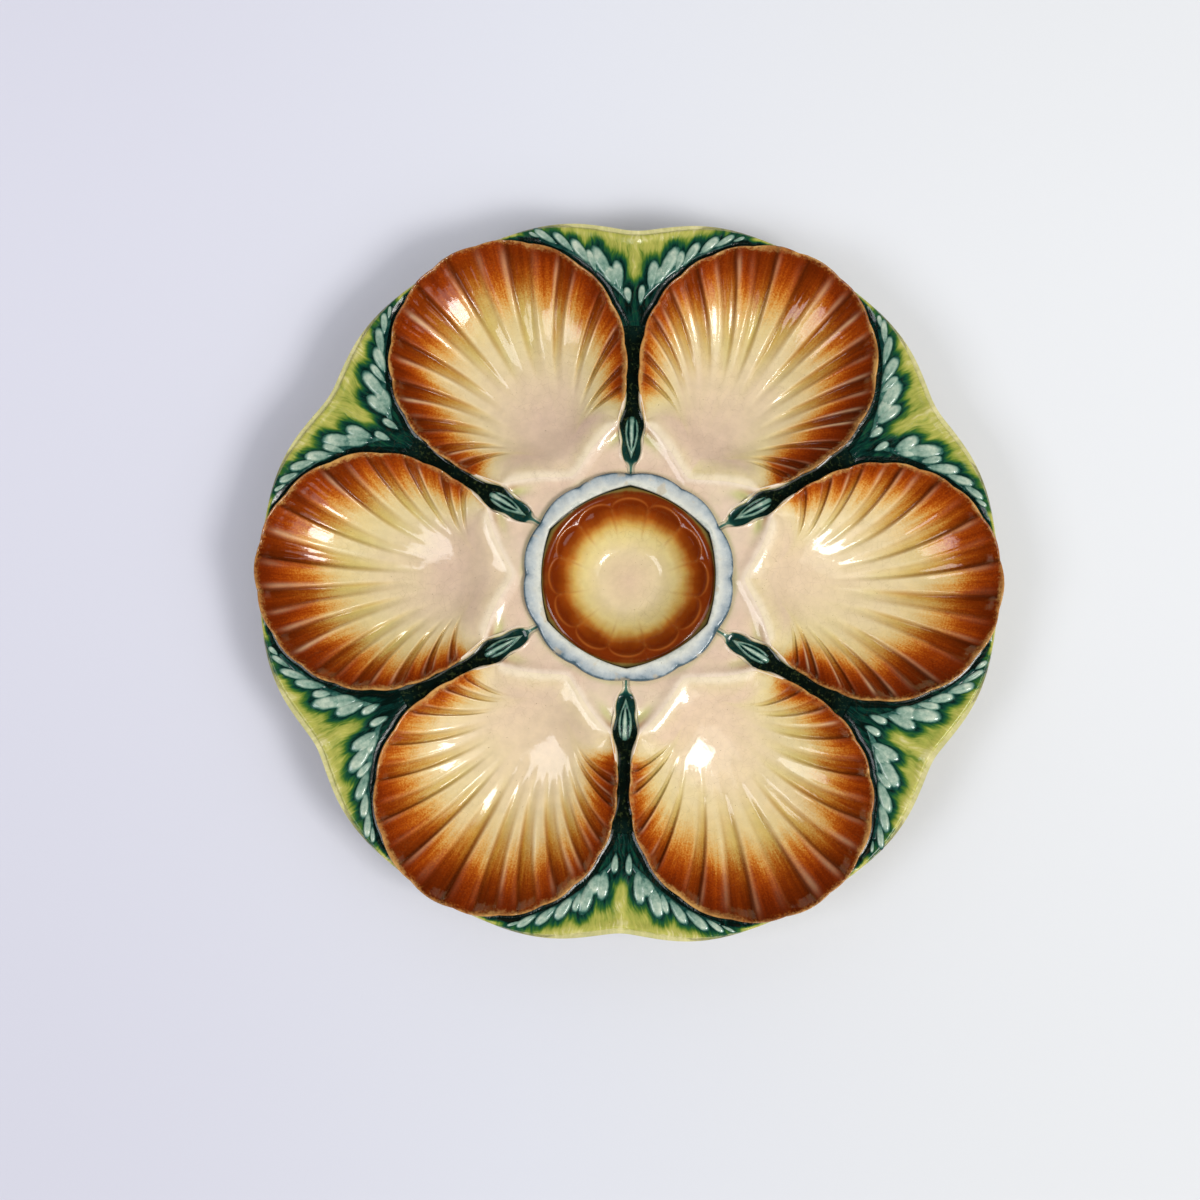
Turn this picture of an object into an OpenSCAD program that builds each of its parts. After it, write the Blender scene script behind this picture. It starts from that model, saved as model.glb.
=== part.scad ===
// Oyster plate: six scallop-shell wells round a fluted cup, relief-moulded in glazed earthenware.
// Millimetres, +Z up. The origin is on the table on the plate's axis, and +X runs through shell 1.

/* [Plate] */
// Radius from the axis to the tip of a shell
plate_r = 123.6; // [120:0.2:128]
// Height of the shell tips above the table
tip_h = 27; // [26:0.5:30]
// Height of the lips at the shells' inner ends
inner_h = 22.8; // [22:0.1:24]
// Thickness of the plate at a shell tip
rim_t = 4.2; // [3.4:0.1:5]

/* [Shell wells] */
// Narrowest gap between two neighbouring shells
shell_gap = 3.9; // [3:0.1:5]
// Extra length of a shell towards its tip
shell_stretch = 1.7; // [0.5:0.1:2.5]
// Depth of a well below its lip at its centre
well_depth = 14.4; // [12:0.2:15]
// Width of the plain lip round a well
lip_w = 0.9; // [0.7:0.1:1.3]
// Step from the lip down to the ribbed surface
lip_step = 0.3; // [0.2:0.1:0.6]
// Depth of the furrows between the ribs
rib_depth = 1.2; // [0.6:0.1:1.5]
// Height of the waves that the ribs make in the margin
margin_wave = 0.6; // [0.2:0.1:0.8]

/* [Hinges] */
// Width of the plain strip between the collar and a shell's point
hinge_strip = 3.3; // [2.6:0.1:4.5]
// Drop from the shell lips to the hinge ears
hinge_drop = 0.7; // [0.4:0.1:1.2]
// Radius of the scoop in each ear
scoop_r = 7; // [5:0.5:9]
// Depth of the scoop in each ear
scoop_d = 0.6; // [0.3:0.1:0.9]

/* [Channels and buds] */
// Width of a bud's dark bed at its widest
bed_w = 8.2; // [7:0.1:9]
// Length of the bed, from its point to where the shells close in
bed_l = 28; // [26:0.5:30]
// Run of the channel past the middles of the shells, to where it opens into the green ground
channel_run = 3; // [1:0.5:6]
// Drop from the shell lips to the channel floor
channel_drop = 2.6; // [2:0.1:3.2]
// Width of the raised bud
bud_w = 4.4; // [3.4:0.1:5]
// Length of the raised bud
bud_l = 14.2; // [12:0.2:15]
// Height of the bud above the channel floor
bud_h = 1.7; // [1:0.1:2.2]

/* [Ground] */
// Drop from the shell lips to the green ground
ground_drop = 1.8; // [1.4:0.1:2.4]
// Depth of the rim's notch between two shells, measured in from the tip radius
notch_depth = 8.4; // [7:0.2:10]
// Inset of the ground's tails from the tip radius
tail_inset = 1.6; // [1.2:0.1:2.4]
// Extra swell of the rim on both sides of a notch
rim_swell = 0.9; // [0.3:0.1:1.4]
// Height of the leaf sprigs above the ground
leaf_h = 1.2; // [0.8:0.1:1.6]
// Length of the largest leaf lobe
lobe_l = 9.4; // [8:0.2:10.5]
// Width of the largest leaf lobe
lobe_w = 4.8; // [4:0.1:5.4]

/* [Centre] */
// How far the collar's outer edge lies inside a third of the plate's radius
collar_inset = 6; // [5:0.1:7]
// Height of the collar's top above the table
collar_h = 24.2; // [23.6:0.2:26]
// Thickness of the collar, above the cup's ledge
collar_t = 2.6; // [2:0.2:3.6]
// Depth of the scallops round the collar
collar_wave = 0.9; // [0.4:0.1:1.2]
// Width of the collar at the corners of its six-cornered mouth
mouth_rim = 4.7; // [3.8:0.1:5.4]
// How far the middles of the mouth's sides lie inside its corners
mouth_sag = 1.7; // [1:0.1:2.2]
// Width of the cup's ledge at the corners of the mouth
ledge_w = 3.5; // [3.1:0.1:5]
// Depth of the cup below its ledge
cup_depth = 12; // [10:0.2:12.8]
// Depth of the flutes in the cup's wall
flute_d = 0.9; // [0.5:0.1:1.2]

/* [Foot] */
// How far the middle of the foot ring lies outside half the plate's radius
foot_shift = 0.2; // [-4:0.2:4]
// Width of the foot ring
foot_w = 5; // [4:0.5:7]
// Height of the foot ring
foot_h = 4; // [3.2:0.2:4.6]
// Rounding of the foot ring's lower edges
foot_edge = 0.8; // [0.4:0.1:1.4]
// Height of the hollow behind the hinges, above the top of the foot ring
hollow_h = 12; // [9:0.5:13]
// Radius of the boss under the cup
boss_r = 15; // [12:0.5:18]

/* [Hidden] */
$fn = 96;
shell_count = 6;
pitch_a = 360 / shell_count;
over = rim_t;
collar_r = plate_r / 3 - collar_inset;
mouth_r = collar_r - mouth_rim;
cup_r = mouth_r - ledge_w;
umbo_r = collar_r + hinge_strip;
centre_r = (plate_r - 1.5 * shell_stretch + shell_gap / 2) / 1.5;
shell_r = centre_r / 2 + shell_stretch / 2 - shell_gap / 2;
umbo_x = umbo_r - centre_r;
channel_end_r = centre_r + channel_run;
foot_r = plate_r / 2 + foot_shift;
foot_in_r = foot_r - foot_w / 2;
foot_out_r = foot_r + foot_w / 2;
lip_slope = (tip_h - inner_h) / (plate_r - umbo_r);
// Angle, about a shell's centre, from its tip to the corner where its hinge begins
hinge_a = 143;
// Places of the furrows round the margin, as shares of the hinge angle
furrow_share = [-0.89, -0.79, -0.68, -0.55, -0.43, -0.3, -0.15, 0, 0.17, 0.35, 0.54, 0.7, 0.83, 0.93];
// Cross-section of one furrow and rib: places across the pitch, and depths
cross_place_share = [0, 0.17, 0.36, 0.64, 0.83];
cross_depth_share = [1, 0.5, 0, 0, 0.5];
// Rows of the ribbed surface from the hinge point to the margin, and how deep the furrows are there
row_share = [0.12, 0.24, 0.36, 0.47, 0.58, 0.69, 0.79, 0.88, 0.95, 1];
row_depth_share = [0, 0, 0, 0.25, 0.6, 0.9, 1, 1, 0.6, 0];
// How the ribs bend: place of their common stem, and how far they hold its direction
stem_place_share = 0.32;
stem_hold_share = 0.38;
ridge_dip_share = 0.03;
tip_power = 2.4;
hinge_power = 3.2;
back_power = 2.6;
ground_back_power = 1.7;
// Back hollow between the cup's boss and the foot ring: run and rise
run_share = [0, 0.16, 0.27, 0.38, 0.52, 0.65, 0.79, 0.92, 1];
rise_share = [0, 0.33, 0.67, 0.95, 1, 0.75, 0.42, 0.13, 0];
// Bed of the bud: places along its length, and half widths as shares of its width
bed_place_share = [0, 0.05, 0.14, 0.23, 0.33, 0.43, 0.51, 0.6, 0.71, 0.82, 0.92, 1];
bed_half_share = [0.05, 0.2, 0.34, 0.38, 0.34, 0.42, 0.5, 0.43, 0.28, 0.23, 0.23, 0.34];
bud_place_share = 0.17;
bud_start_share = 0.11;
core_share = 0.5;
// Leaf lobes: across the panel as shares of the panel's half width, along the radius as shares
// of the way from the channel's end to the tip radius, then size and lean
panel_half = centre_r / 2;
lobe_across_share = [0.075, 0.165, 0.33, 0.49, 0.64, 0.775];
lobe_along_share = [0.24, 0.44, 0.565, 0.625, 0.68, 0.715];
lobe_size_share = [0.52, 1, 0.98, 0.8, 0.68, 0.56];
lobe_lean = [4, 14, 28, 44, 55, 68];
lobe_points = 18;
rachis_share = 0.3;
rim_a = 24;
rim_soft_a = 2;
notch_points = 24;
outer_steps = 9;
ridge_steps = 6;
margin_steps = 84;
scallop_count = 2 * shell_count;
collar_points = 144;
flute_points = 8;
// Rows of the fluted cup from its ledge to its middle, and how deep the flutes are there
bowl_share = [1, 0.96, 0.9, 0.81, 0.7, 0.56, 0.4, 0.2];
bowl_flute_share = [0, 0.7, 1, 0.9, 0.7, 0.4, 0.1, 0];
cup_power = 2.8;

// Heights of revolution
function lip_z(r) = inner_h + lip_slope * (r - umbo_r);
function back_z(r, power) =
    foot_h + (tip_h - rim_t - foot_h) * pow(max(0, (r - foot_out_r) / (plate_r - foot_out_r)), power);

// Underside, from the axis to past the rim
function back_points(power) = concat(
    [[0, foot_h]],
    [for (i = [0 : len(run_share) - 1])
        [boss_r + run_share[i] * (foot_in_r - boss_r), foot_h + hollow_h * rise_share[i]]],
    [for (i = [0 : outer_steps])
        let (r = foot_out_r + (plate_r + over - foot_out_r) * i / outer_steps) [r, back_z(r, power)]]
);

// Solid of revolution between the underside and a cone that lies below the lips
module slab(drop, power) {
    rotate_extrude()
        polygon(concat(
            back_points(power),
            [[plate_r + over, lip_z(plate_r + over) - drop], [0, lip_z(0) - drop]]
        ));
}

// Thin band of revolution on a cone that lies below the lips
module band(drop, t) {
    rotate_extrude()
        polygon([
            [umbo_r - over, lip_z(umbo_r - over) - drop],
            [plate_r + over, lip_z(plate_r + over) - drop],
            [plate_r + over, lip_z(plate_r + over) - drop + t],
            [umbo_r - over, lip_z(umbo_r - over) - drop + t]
        ]);
}

// Shell outline as a radius about the shell's centre, a degrees clockwise from the tip
function way(a) = [cos(a), -sin(a)];
function area(p, q) = p[0] * q[1] - p[1] * q[0];
function margin_r(a) = shell_r + shell_stretch * cos(a) + margin_wave * (wave(a / hinge_a) - 1) / 2;
function wave(s) = cos(360 * (s * (len(furrow_share) - 1) / 2)) * max(0, 1 - pow(abs(s), 8));
corner = (shell_r + shell_stretch * cos(hinge_a)) * way(hinge_a);
umbo = [umbo_x, 0];
function ridge_t(a) = -area(corner, way(a)) / area(umbo - corner, way(a));
function ridge_r(a) =
    norm(corner + ridge_t(a) * (umbo - corner))
    * (1 - ridge_dip_share * sin(180 * (a - hinge_a) / (180 - hinge_a)));
function edge_r(a) = abs(a) <= hinge_a ? margin_r(a) : ridge_r(abs(a));

function shell_points() = concat(
    [for (i = [0 : margin_steps]) let (a = hinge_a * (2 * i / margin_steps - 1)) edge_r(a) * way(a)],
    [for (i = [1 : 2 * ridge_steps - 1])
        let (a = hinge_a + (180 - hinge_a) * i / ridge_steps) edge_r(a > 180 ? a - 360 : a) * way(a)]
);

module shell_2d() {
    translate([centre_r, 0])
        polygon(shell_points());
}

// Ribbed surface of a well: columns run from the hinge point to the margin along the ribs
stem_x = umbo_x + stem_place_share * (shell_r + shell_stretch - umbo_x);
inner_umbo = [umbo_x + 1.3 * lip_w, 0];
function lip_point(a) = (edge_r(a) - lip_w) * way(a);
function stretch(x, a, b) = let (t = max(0, min(1, (x - a) / (b - a)))) t * t * (3 - 2 * t);
function ridge_bend(s) =
    let (a = sign(s) * (hinge_a + 180) / 2) 2 * lip_point(a) - (inner_umbo + lip_point(s * hinge_a)) / 2;
function rib_bend(s) = [stem_x, 0] + stem_hold_share * (lip_point(s * hinge_a) - [stem_x, 0]);
function bend(s) =
    let (t = stretch(abs(s), 0.8, 1)) abs(s) > 0.8 ? (1 - t) * rib_bend(s) + t * ridge_bend(sign(s)) : rib_bend(s);
function rib_xy(s, w) =
    (1 - w) * (1 - w) * inner_umbo + 2 * w * (1 - w) * bend(s) + w * w * lip_point(s * hinge_a);
function well_z(p, dent) =
    let (
        a = atan2(-p[1], p[0]),
        rho = min(1, norm(p) / (edge_r(a) - lip_w)),
        power = tip_power + (hinge_power - tip_power) * (1 - cos(a)) / 2
    )
    lip_z(norm(p + [centre_r, 0])) - lip_step - well_depth * (1 - pow(rho, power)) - rib_depth * dent;

gap_count = len(furrow_share) - 1;
columns = concat(
    [[-1, 0], [(furrow_share[0] - 1) / 2, 0]],
    [for (i = [0 : gap_count - 1], j = [0 : len(cross_place_share) - 1])
        [furrow_share[i] + cross_place_share[j] * (furrow_share[i + 1] - furrow_share[i]),
            cross_depth_share[j]]],
    [[furrow_share[gap_count], cross_depth_share[0]], [(furrow_share[gap_count] + 1) / 2, 0], [1, 0]]
);

// Closed solid that hollows out one well
module well_hollow() {
    n = len(columns);
    m = len(row_share);
    top = tip_h + over;
    sheet = [for (c = columns, j = [0 : m - 1])
        let (p = rib_xy(c[0], row_share[j])) [p[0], p[1], well_z(p, c[1] * row_depth_share[j])]];
    apex = [inner_umbo[0], inner_umbo[1], well_z(inner_umbo, 0)];
    floor_points = concat([apex], sheet);
    rim_ids = concat(
        [0],
        [for (j = [0 : m - 1]) 1 + j],
        [for (i = [1 : n - 1]) 1 + i * m + m - 1],
        [for (j = [m - 2 : -1 : 0]) 1 + (n - 1) * m + j]
    );
    k = len(rim_ids);
    base = len(floor_points);
    roof_points = [for (id = rim_ids) [floor_points[id][0], floor_points[id][1], top]];
    fan = [for (i = [0 : n - 2]) [0, 1 + (i + 1) * m, 1 + i * m]];
    quads = [for (i = [0 : n - 2], j = [0 : m - 2], h = [0, 1])
        let (a = 1 + i * m + j, b = a + m)
        h == 0 ? [a, b + 1, a + 1] : [a, b, b + 1]];
    walls = [for (i = [0 : k - 1], h = [0, 1])
        let (i2 = (i + 1) % k)
        h == 0 ? [rim_ids[i], base + i2, base + i] : [rim_ids[i], rim_ids[i2], base + i2]];
    roof = [[for (i = [0 : k - 1]) base + i]];
    translate([centre_r, 0, 0])
        polyhedron(points = concat(floor_points, roof_points), faces = concat(fan, quads, walls, roof));
}

// Outlines seen from above, each in the frame of its own axis
module turned(k) {
    rotate([0, 0, k * pitch_a])
        children();
}

module between(k) {
    rotate([0, 0, (k + 0.5) * pitch_a])
        children();
}

function collar_edge(a) = collar_r - collar_wave * (1 - abs(sin(scallop_count / 2 * a)));
module collar_2d() {
    polygon([for (i = [0 : collar_points - 1])
        let (a = 360 * i / collar_points) collar_edge(a) * [cos(a), sin(a)]]);
}

// Mouth: six bowed sides that meet in corners on the channels' axes
function mouth_edge(a) =
    let (u = ((a + 360 + pitch_a / 2) % pitch_a) / (pitch_a / 2) - 1) mouth_r - mouth_sag * (1 - u * u);
module mouth_2d() {
    polygon([for (i = [0 : collar_points - 1])
        let (a = 360 * i / collar_points) mouth_edge(a) * [cos(a), sin(a)]]);
}

bed_start = collar_r + hinge_strip / 2;
function bed_side(side) = [for (i = [0 : len(bed_place_share) - 1])
    [bed_start + bed_l * bed_place_share[i], side * bed_w * bed_half_share[i]]];
module channel_2d() {
    flare = shell_gap;
    polygon(concat(
        bed_side(-1),
        [[bed_start + bed_l, -flare], [channel_end_r, -2 * flare], [channel_end_r, 2 * flare],
            [bed_start + bed_l, flare]],
        [for (i = [len(bed_place_share) - 1 : -1 : 0]) bed_side(1)[i]]
    ));
}

module channel_gap_2d() {
    difference() {
        channel_2d();
        for (side = [-1, 1])
            rotate([0, 0, side * pitch_a / 2])
                shell_2d();
    }
}

function lens(start, l, w) = [for (i = [0 : 2 * lobe_points - 1])
    let (a = 180 * i / lobe_points) [start + l * (1 - cos(a)) / 2, w / 2 * sin(a)]];

function rim_edge(a) =
    let (b = sqrt(a * a + rim_soft_a * rim_soft_a) - rim_soft_a)
    plate_r - notch_depth + (notch_depth - tail_inset) * sin(90 * min(1, b / rim_a))
    + rim_swell * pow(sin(180 * min(1, b / rim_a)), 2);
module panel_2d() {
    difference() {
        polygon(concat(
            [for (i = [0 : notch_points])
                let (a = rim_a * (2 * i / notch_points - 1)) rim_edge(a) * [cos(a), sin(a)]],
            [[channel_end_r, 4 * shell_gap], [channel_end_r, -4 * shell_gap]]
        ));
        for (side = [-1, 1])
            rotate([0, 0, side * pitch_a / 2])
                shell_2d();
    }
}

// One sprig: leaf lobes on a rachis that follows the shell
function lobe_xy(i, side) = [
    channel_end_r + lobe_along_share[i] * (plate_r - channel_end_r),
    side * lobe_across_share[i] * panel_half
];
module lobe_2d(i, side) {
    l = lobe_l * lobe_size_share[i];
    w = lobe_w * lobe_size_share[i];
    translate(lobe_xy(i, side))
        rotate([0, 0, side * lobe_lean[i]])
            translate([-l / 2, 0])
                polygon(lens(0, l, w));
}

module rachis_2d(i, side) {
    w = lobe_w * rachis_share * (lobe_size_share[i] + lobe_size_share[i + 1]) / 2;
    p = lobe_xy(i, side);
    q = lobe_xy(i + 1, side);
    d = (q - p) / norm(q - p);
    n = [-d[1], d[0]];
    foot = -side * n * w;
    polygon(side > 0 ? [q, q + 2 * foot, p + 2 * foot, p] : [p, p + 2 * foot, q + 2 * foot, q]);
}

// Sub-parts
module foot_ring() {
    color("#cdbb9c")
        rotate_extrude()
            polygon([
                [foot_in_r, foot_edge], [foot_in_r + foot_edge, 0], [foot_out_r - foot_edge, 0],
                [foot_out_r, foot_edge], [foot_out_r, foot_h], [foot_in_r, foot_h]
            ]);
}

// Closed solid that hollows out the cup, with scooped flutes in its wall
module cup_hollow() {
    n = scallop_count * flute_points;
    m = len(bowl_share);
    ledge_h = collar_h - collar_t;
    ring_a = [for (i = [0 : n - 1]) 360 * i / n];
    function scoop(a) = abs(cos(scallop_count / 2 * a));
    function bowl_z(t) = ledge_h - cup_depth * (1 - pow(t, cup_power));
    upper = [for (a = ring_a) [cup_r * cos(a), cup_r * sin(a), ledge_h + over]];
    wall = [for (j = [0 : m - 1], a = ring_a)
        let (r = cup_r * bowl_share[j])
        [r * cos(a), r * sin(a), bowl_z(bowl_share[j]) - flute_d * bowl_flute_share[j] * scoop(a)]];
    points = concat(upper, wall, [[0, 0, bowl_z(0)]]);
    rings = m + 1;
    sides = [for (j = [0 : rings - 2], i = [0 : n - 1], h = [0, 1])
        let (a = j * n + i, b = j * n + (i + 1) % n)
        h == 0 ? [a, b, b + n] : [a, b + n, a + n]];
    bottom = [for (i = [0 : n - 1]) [(rings - 1) * n + i, (rings - 1) * n + (i + 1) % n, rings * n]];
    roof = [[for (i = [n - 1 : -1 : 0]) i]];
    polyhedron(points = points, faces = concat(roof, sides, bottom));
}

module centre_cup() {
    color("#e9d3b8")
        difference() {
            intersection() {
                linear_extrude(height = collar_h - collar_t)
                    collar_2d();
                rotate_extrude()
                    polygon(concat(back_points(back_power), [[plate_r + over, tip_h + over], [0, tip_h + over]]));
            }
            cup_hollow();
        }
}

module cup_collar() {
    color("#9fb0b8")
        translate([0, 0, collar_h - collar_t])
            linear_extrude(height = collar_t)
                difference() {
                    collar_2d();
                    mouth_2d();
                }
}

module shell_well(k) {
    color("#d9953f")
        turned(k)
            difference() {
                intersection() {
                    linear_extrude(height = tip_h + over)
                        shell_2d();
                    slab(0, back_power);
                }
                well_hollow();
            }
}

module shell_hinge(k) {
    reach = bed_start + bed_l;
    scoop_x = bed_start + bed_l * 0.3;
    color("#e3d3ac")
        turned(k)
            difference() {
                intersection() {
                    linear_extrude(height = tip_h + over)
                        difference() {
                            polygon([
                                [0, 0],
                                reach * [1, -tan(pitch_a / 2)],
                                reach * [1, tan(pitch_a / 2)]
                            ]);
                            collar_2d();
                            shell_2d();
                            for (side = [-1, 1])
                                rotate([0, 0, side * pitch_a / 2])
                                    channel_2d();
                        }
                    slab(hinge_drop, back_power);
                }
                for (side = [-1, 1])
                    rotate([0, 0, side * (pitch_a / 2)])
                        translate([scoop_x, -side * bed_w * 0.85, lip_z(scoop_x) - hinge_drop - scoop_d + scoop_r])
                            sphere(r = scoop_r);
            }
}

module stem_channel(k) {
    color("#14342f")
        between(k)
            intersection() {
                linear_extrude(height = tip_h + over)
                    channel_gap_2d();
                slab(channel_drop, ground_back_power);
            }
}

module bud(k) {
    start = bed_start + bed_l * bud_start_share;
    color("#a9bab4")
        between(k) {
            intersection() {
                linear_extrude(height = tip_h + over)
                    polygon(lens(start, bud_l, bud_w));
                band(channel_drop, bud_h * 0.7);
            }
            intersection() {
                linear_extrude(height = tip_h + over)
                    polygon(lens(start + bud_l * bud_place_share, bud_l * core_share, bud_w * core_share));
                band(channel_drop - bud_h * 0.7, bud_h * 0.3);
            }
        }
}

module ground_panel(k) {
    color("#8aa134")
        between(k)
            intersection() {
                linear_extrude(height = tip_h + over)
                    panel_2d();
                slab(ground_drop, ground_back_power);
            }
}

module leaf_sprig(k, side) {
    color("#8fb0a4")
        between(k)
            intersection() {
                linear_extrude(height = tip_h + over)
                    difference() {
                        union() {
                            for (i = [0 : len(lobe_lean) - 1])
                                lobe_2d(i, side);
                            for (i = [0 : len(lobe_lean) - 2])
                                rachis_2d(i, side);
                        }
                        rotate([0, 0, side * pitch_a / 2])
                            shell_2d();
                    }
                band(ground_drop, leaf_h);
            }
}

foot_ring();
centre_cup();
cup_collar();
shell_well(0);  // shell_well_1
shell_well(1);  // shell_well_2
shell_well(2);  // shell_well_3
shell_well(3);  // shell_well_4
shell_well(4);  // shell_well_5
shell_well(5);  // shell_well_6
shell_hinge(0);  // shell_hinge_1
shell_hinge(1);  // shell_hinge_2
shell_hinge(2);  // shell_hinge_3
shell_hinge(3);  // shell_hinge_4
shell_hinge(4);  // shell_hinge_5
shell_hinge(5);  // shell_hinge_6
stem_channel(0);  // stem_channel_1
stem_channel(1);  // stem_channel_2
stem_channel(2);  // stem_channel_3
stem_channel(3);  // stem_channel_4
stem_channel(4);  // stem_channel_5
stem_channel(5);  // stem_channel_6
bud(0);  // bud_1
bud(1);  // bud_2
bud(2);  // bud_3
bud(3);  // bud_4
bud(4);  // bud_5
bud(5);  // bud_6
ground_panel(0);  // ground_panel_1
ground_panel(1);  // ground_panel_2
ground_panel(2);  // ground_panel_3
ground_panel(3);  // ground_panel_4
ground_panel(4);  // ground_panel_5
ground_panel(5);  // ground_panel_6
leaf_sprig(0, 1);  // leaf_left_1
leaf_sprig(1, 1);  // leaf_left_2
leaf_sprig(2, 1);  // leaf_left_3
leaf_sprig(3, 1);  // leaf_left_4
leaf_sprig(4, 1);  // leaf_left_5
leaf_sprig(5, 1);  // leaf_left_6
leaf_sprig(0, -1);  // leaf_right_1
leaf_sprig(1, -1);  // leaf_right_2
leaf_sprig(2, -1);  // leaf_right_3
leaf_sprig(3, -1);  // leaf_right_4
leaf_sprig(4, -1);  // leaf_right_5
leaf_sprig(5, -1);  // leaf_right_6
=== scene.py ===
import math

import bpy
import numpy as np
from mathutils import Matrix, Vector


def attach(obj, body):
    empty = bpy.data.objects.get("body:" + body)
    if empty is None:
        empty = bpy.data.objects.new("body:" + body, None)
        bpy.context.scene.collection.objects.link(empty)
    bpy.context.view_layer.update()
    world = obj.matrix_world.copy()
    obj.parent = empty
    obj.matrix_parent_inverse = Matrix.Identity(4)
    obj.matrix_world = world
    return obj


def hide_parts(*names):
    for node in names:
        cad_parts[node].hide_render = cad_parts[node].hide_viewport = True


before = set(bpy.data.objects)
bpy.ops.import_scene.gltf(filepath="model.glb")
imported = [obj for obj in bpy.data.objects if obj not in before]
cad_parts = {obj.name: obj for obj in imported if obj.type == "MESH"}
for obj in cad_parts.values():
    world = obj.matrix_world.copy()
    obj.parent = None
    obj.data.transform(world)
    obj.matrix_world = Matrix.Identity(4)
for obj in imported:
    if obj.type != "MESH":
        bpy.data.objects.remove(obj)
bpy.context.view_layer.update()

# A glazed earthenware oyster plate: six shell wells round a fluted cup, with leafy ground between.
# Lengths are in millimetres until a mesh is laid, angles in degrees. +Z is up, the axis is the
# plate's own, and shell 1 lies on +X.
MM = 0.001
SHELLS = 6
PITCH = 60.0

# The dished section
PLATE_R = 123.6
TIP_H = 27.0
INNER_H = 22.8
RIM_T = 4.2
FOOT_IN = 59.5
FOOT_OUT = 64.5
FOOT_H = 4.0
HOLLOW_H = 12.0
BOSS_R = 15.0
THICK_BACK = 2.6  # power of the back's curve under the shells and the cup
THIN_BACK = 1.7  # and under the channels and the ground
TUCK = 0.45  # how far a piece runs in under its neighbour
HALVINGS = 34  # rounds of halving where a place is searched for

# Shells
UMBO_R = 38.5  # a shell's hinge point
CENTRE_R = 82.0
SHELL_R = 39.9
STRETCH = 1.7  # longer towards the tip by
FLARE = 3.6  # wider towards the hinge corners by
LIP_W = 0.9
LIP_STEP = 0.3
WELL_DEPTH = 14.4
RIB_DEPTH = 1.5
SCALLOP = 0.6
HINGE_A = 143.0  # the ribs end here, either way from the tip
CORNER_A = 147.0
POLE_BACK = 12.0  # how far the rings' pole lies behind a shell's centre
FURROWS = np.array([-0.89, -0.79, -0.68, -0.55, -0.43, -0.30, -0.15,
                    0.0, 0.17, 0.35, 0.54, 0.70, 0.83, 0.93])
STEM_SHARE = 0.32  # where the ribs' stem point lies between hinge point and tip
HOLD_SHARE = 0.38  # how little the stem point holds a rib

# Between the shells
HINGE_IN = 33.6
HINGE_DROP = 0.7
RIDGE_H = 0.1
CHANNEL_IN = 33.9
CHANNEL_END = 85.0
CHANNEL_DROP = 2.6
GROUND_DROP = 1.8
BED_START = 36.85
BED_L = 28.0
BED_W = 8.2
# Half width of a bud's bed, as a share of BED_W, by share of its length
BED_AT = [0, 0.05, 0.14, 0.23, 0.33, 0.43, 0.51, 0.6, 0.71, 0.82, 0.92, 1]
BED_HALF = [0.05, 0.2, 0.34, 0.38, 0.34, 0.42, 0.5, 0.43, 0.28, 0.23, 0.23, 0.34]
BUD_START = 39.93
BUD_L = 14.2
BUD_W = 4.4
BUD_H = 1.7
LEAF_H = 1.2

# Centre
COLLAR_R = 35.2
COLLAR_H = 24.2
MOUTH_R = 30.5
CUP_R = 27.0
LEDGE_H = 21.6
CUP_DEPTH = 12.0
FLUTE_D = 0.9


def smooth(x, a, b):
    """Rises from 0 at a to 1 at b with no slope at either end: 3t2 - 2t3."""
    t = np.clip((np.asarray(x, float) - a) / (b - a), 0, 1)
    return t * t * (3 - 2 * t)


def hump(x, middle, width):
    """Bell curve that is 1 at its middle."""
    return np.exp(-(((np.asarray(x, float) - middle) / width) ** 2))


def rounding(share):
    """Drop of a rounded edge, 0 where it starts and 1 at its end: a quarter circle."""
    return 1 - np.sqrt(np.clip(1 - share**2, 0, 1))


def lip_z(r):
    """Cone through the lips: 22.8 high at the hinge points, 27 high at the shell tips."""
    return INNER_H + (TIP_H - INNER_H) * (r - UMBO_R) / (PLATE_R - UMBO_R)


def under_z(r, power):
    """Back of the plate: a flat boss, a hollow up to the foot ring, then a power curve to the rim."""
    x = np.clip((r - BOSS_R) / (FOOT_IN - BOSS_R), 0, 1)
    hollow = HOLLOW_H * smooth(x, 0, 0.42) * (1 - smooth(x, 0.5, 1))
    y = np.clip((r - FOOT_OUT) / (PLATE_R - FOOT_OUT), 0, 1.1)
    return FOOT_H + np.where(r < FOOT_IN, hollow, (TIP_H - RIM_T - FOOT_H) * y**power)


def polar(x, y):
    """Distance from the origin, and angle from +X."""
    return np.hypot(x, y), np.degrees(np.arctan2(y, x))


def rib_phase(s):
    """Counts the scallops round a margin: a whole number in the middle of each."""
    last = len(FURROWS) - 1
    inside = np.interp(s, FURROWS, np.arange(last + 1))
    before = np.minimum(0, (s - FURROWS[0]) / 0.11)
    after = np.maximum(0, (s - FURROWS[-1]) / 0.11)
    return inside + before + after


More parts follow.
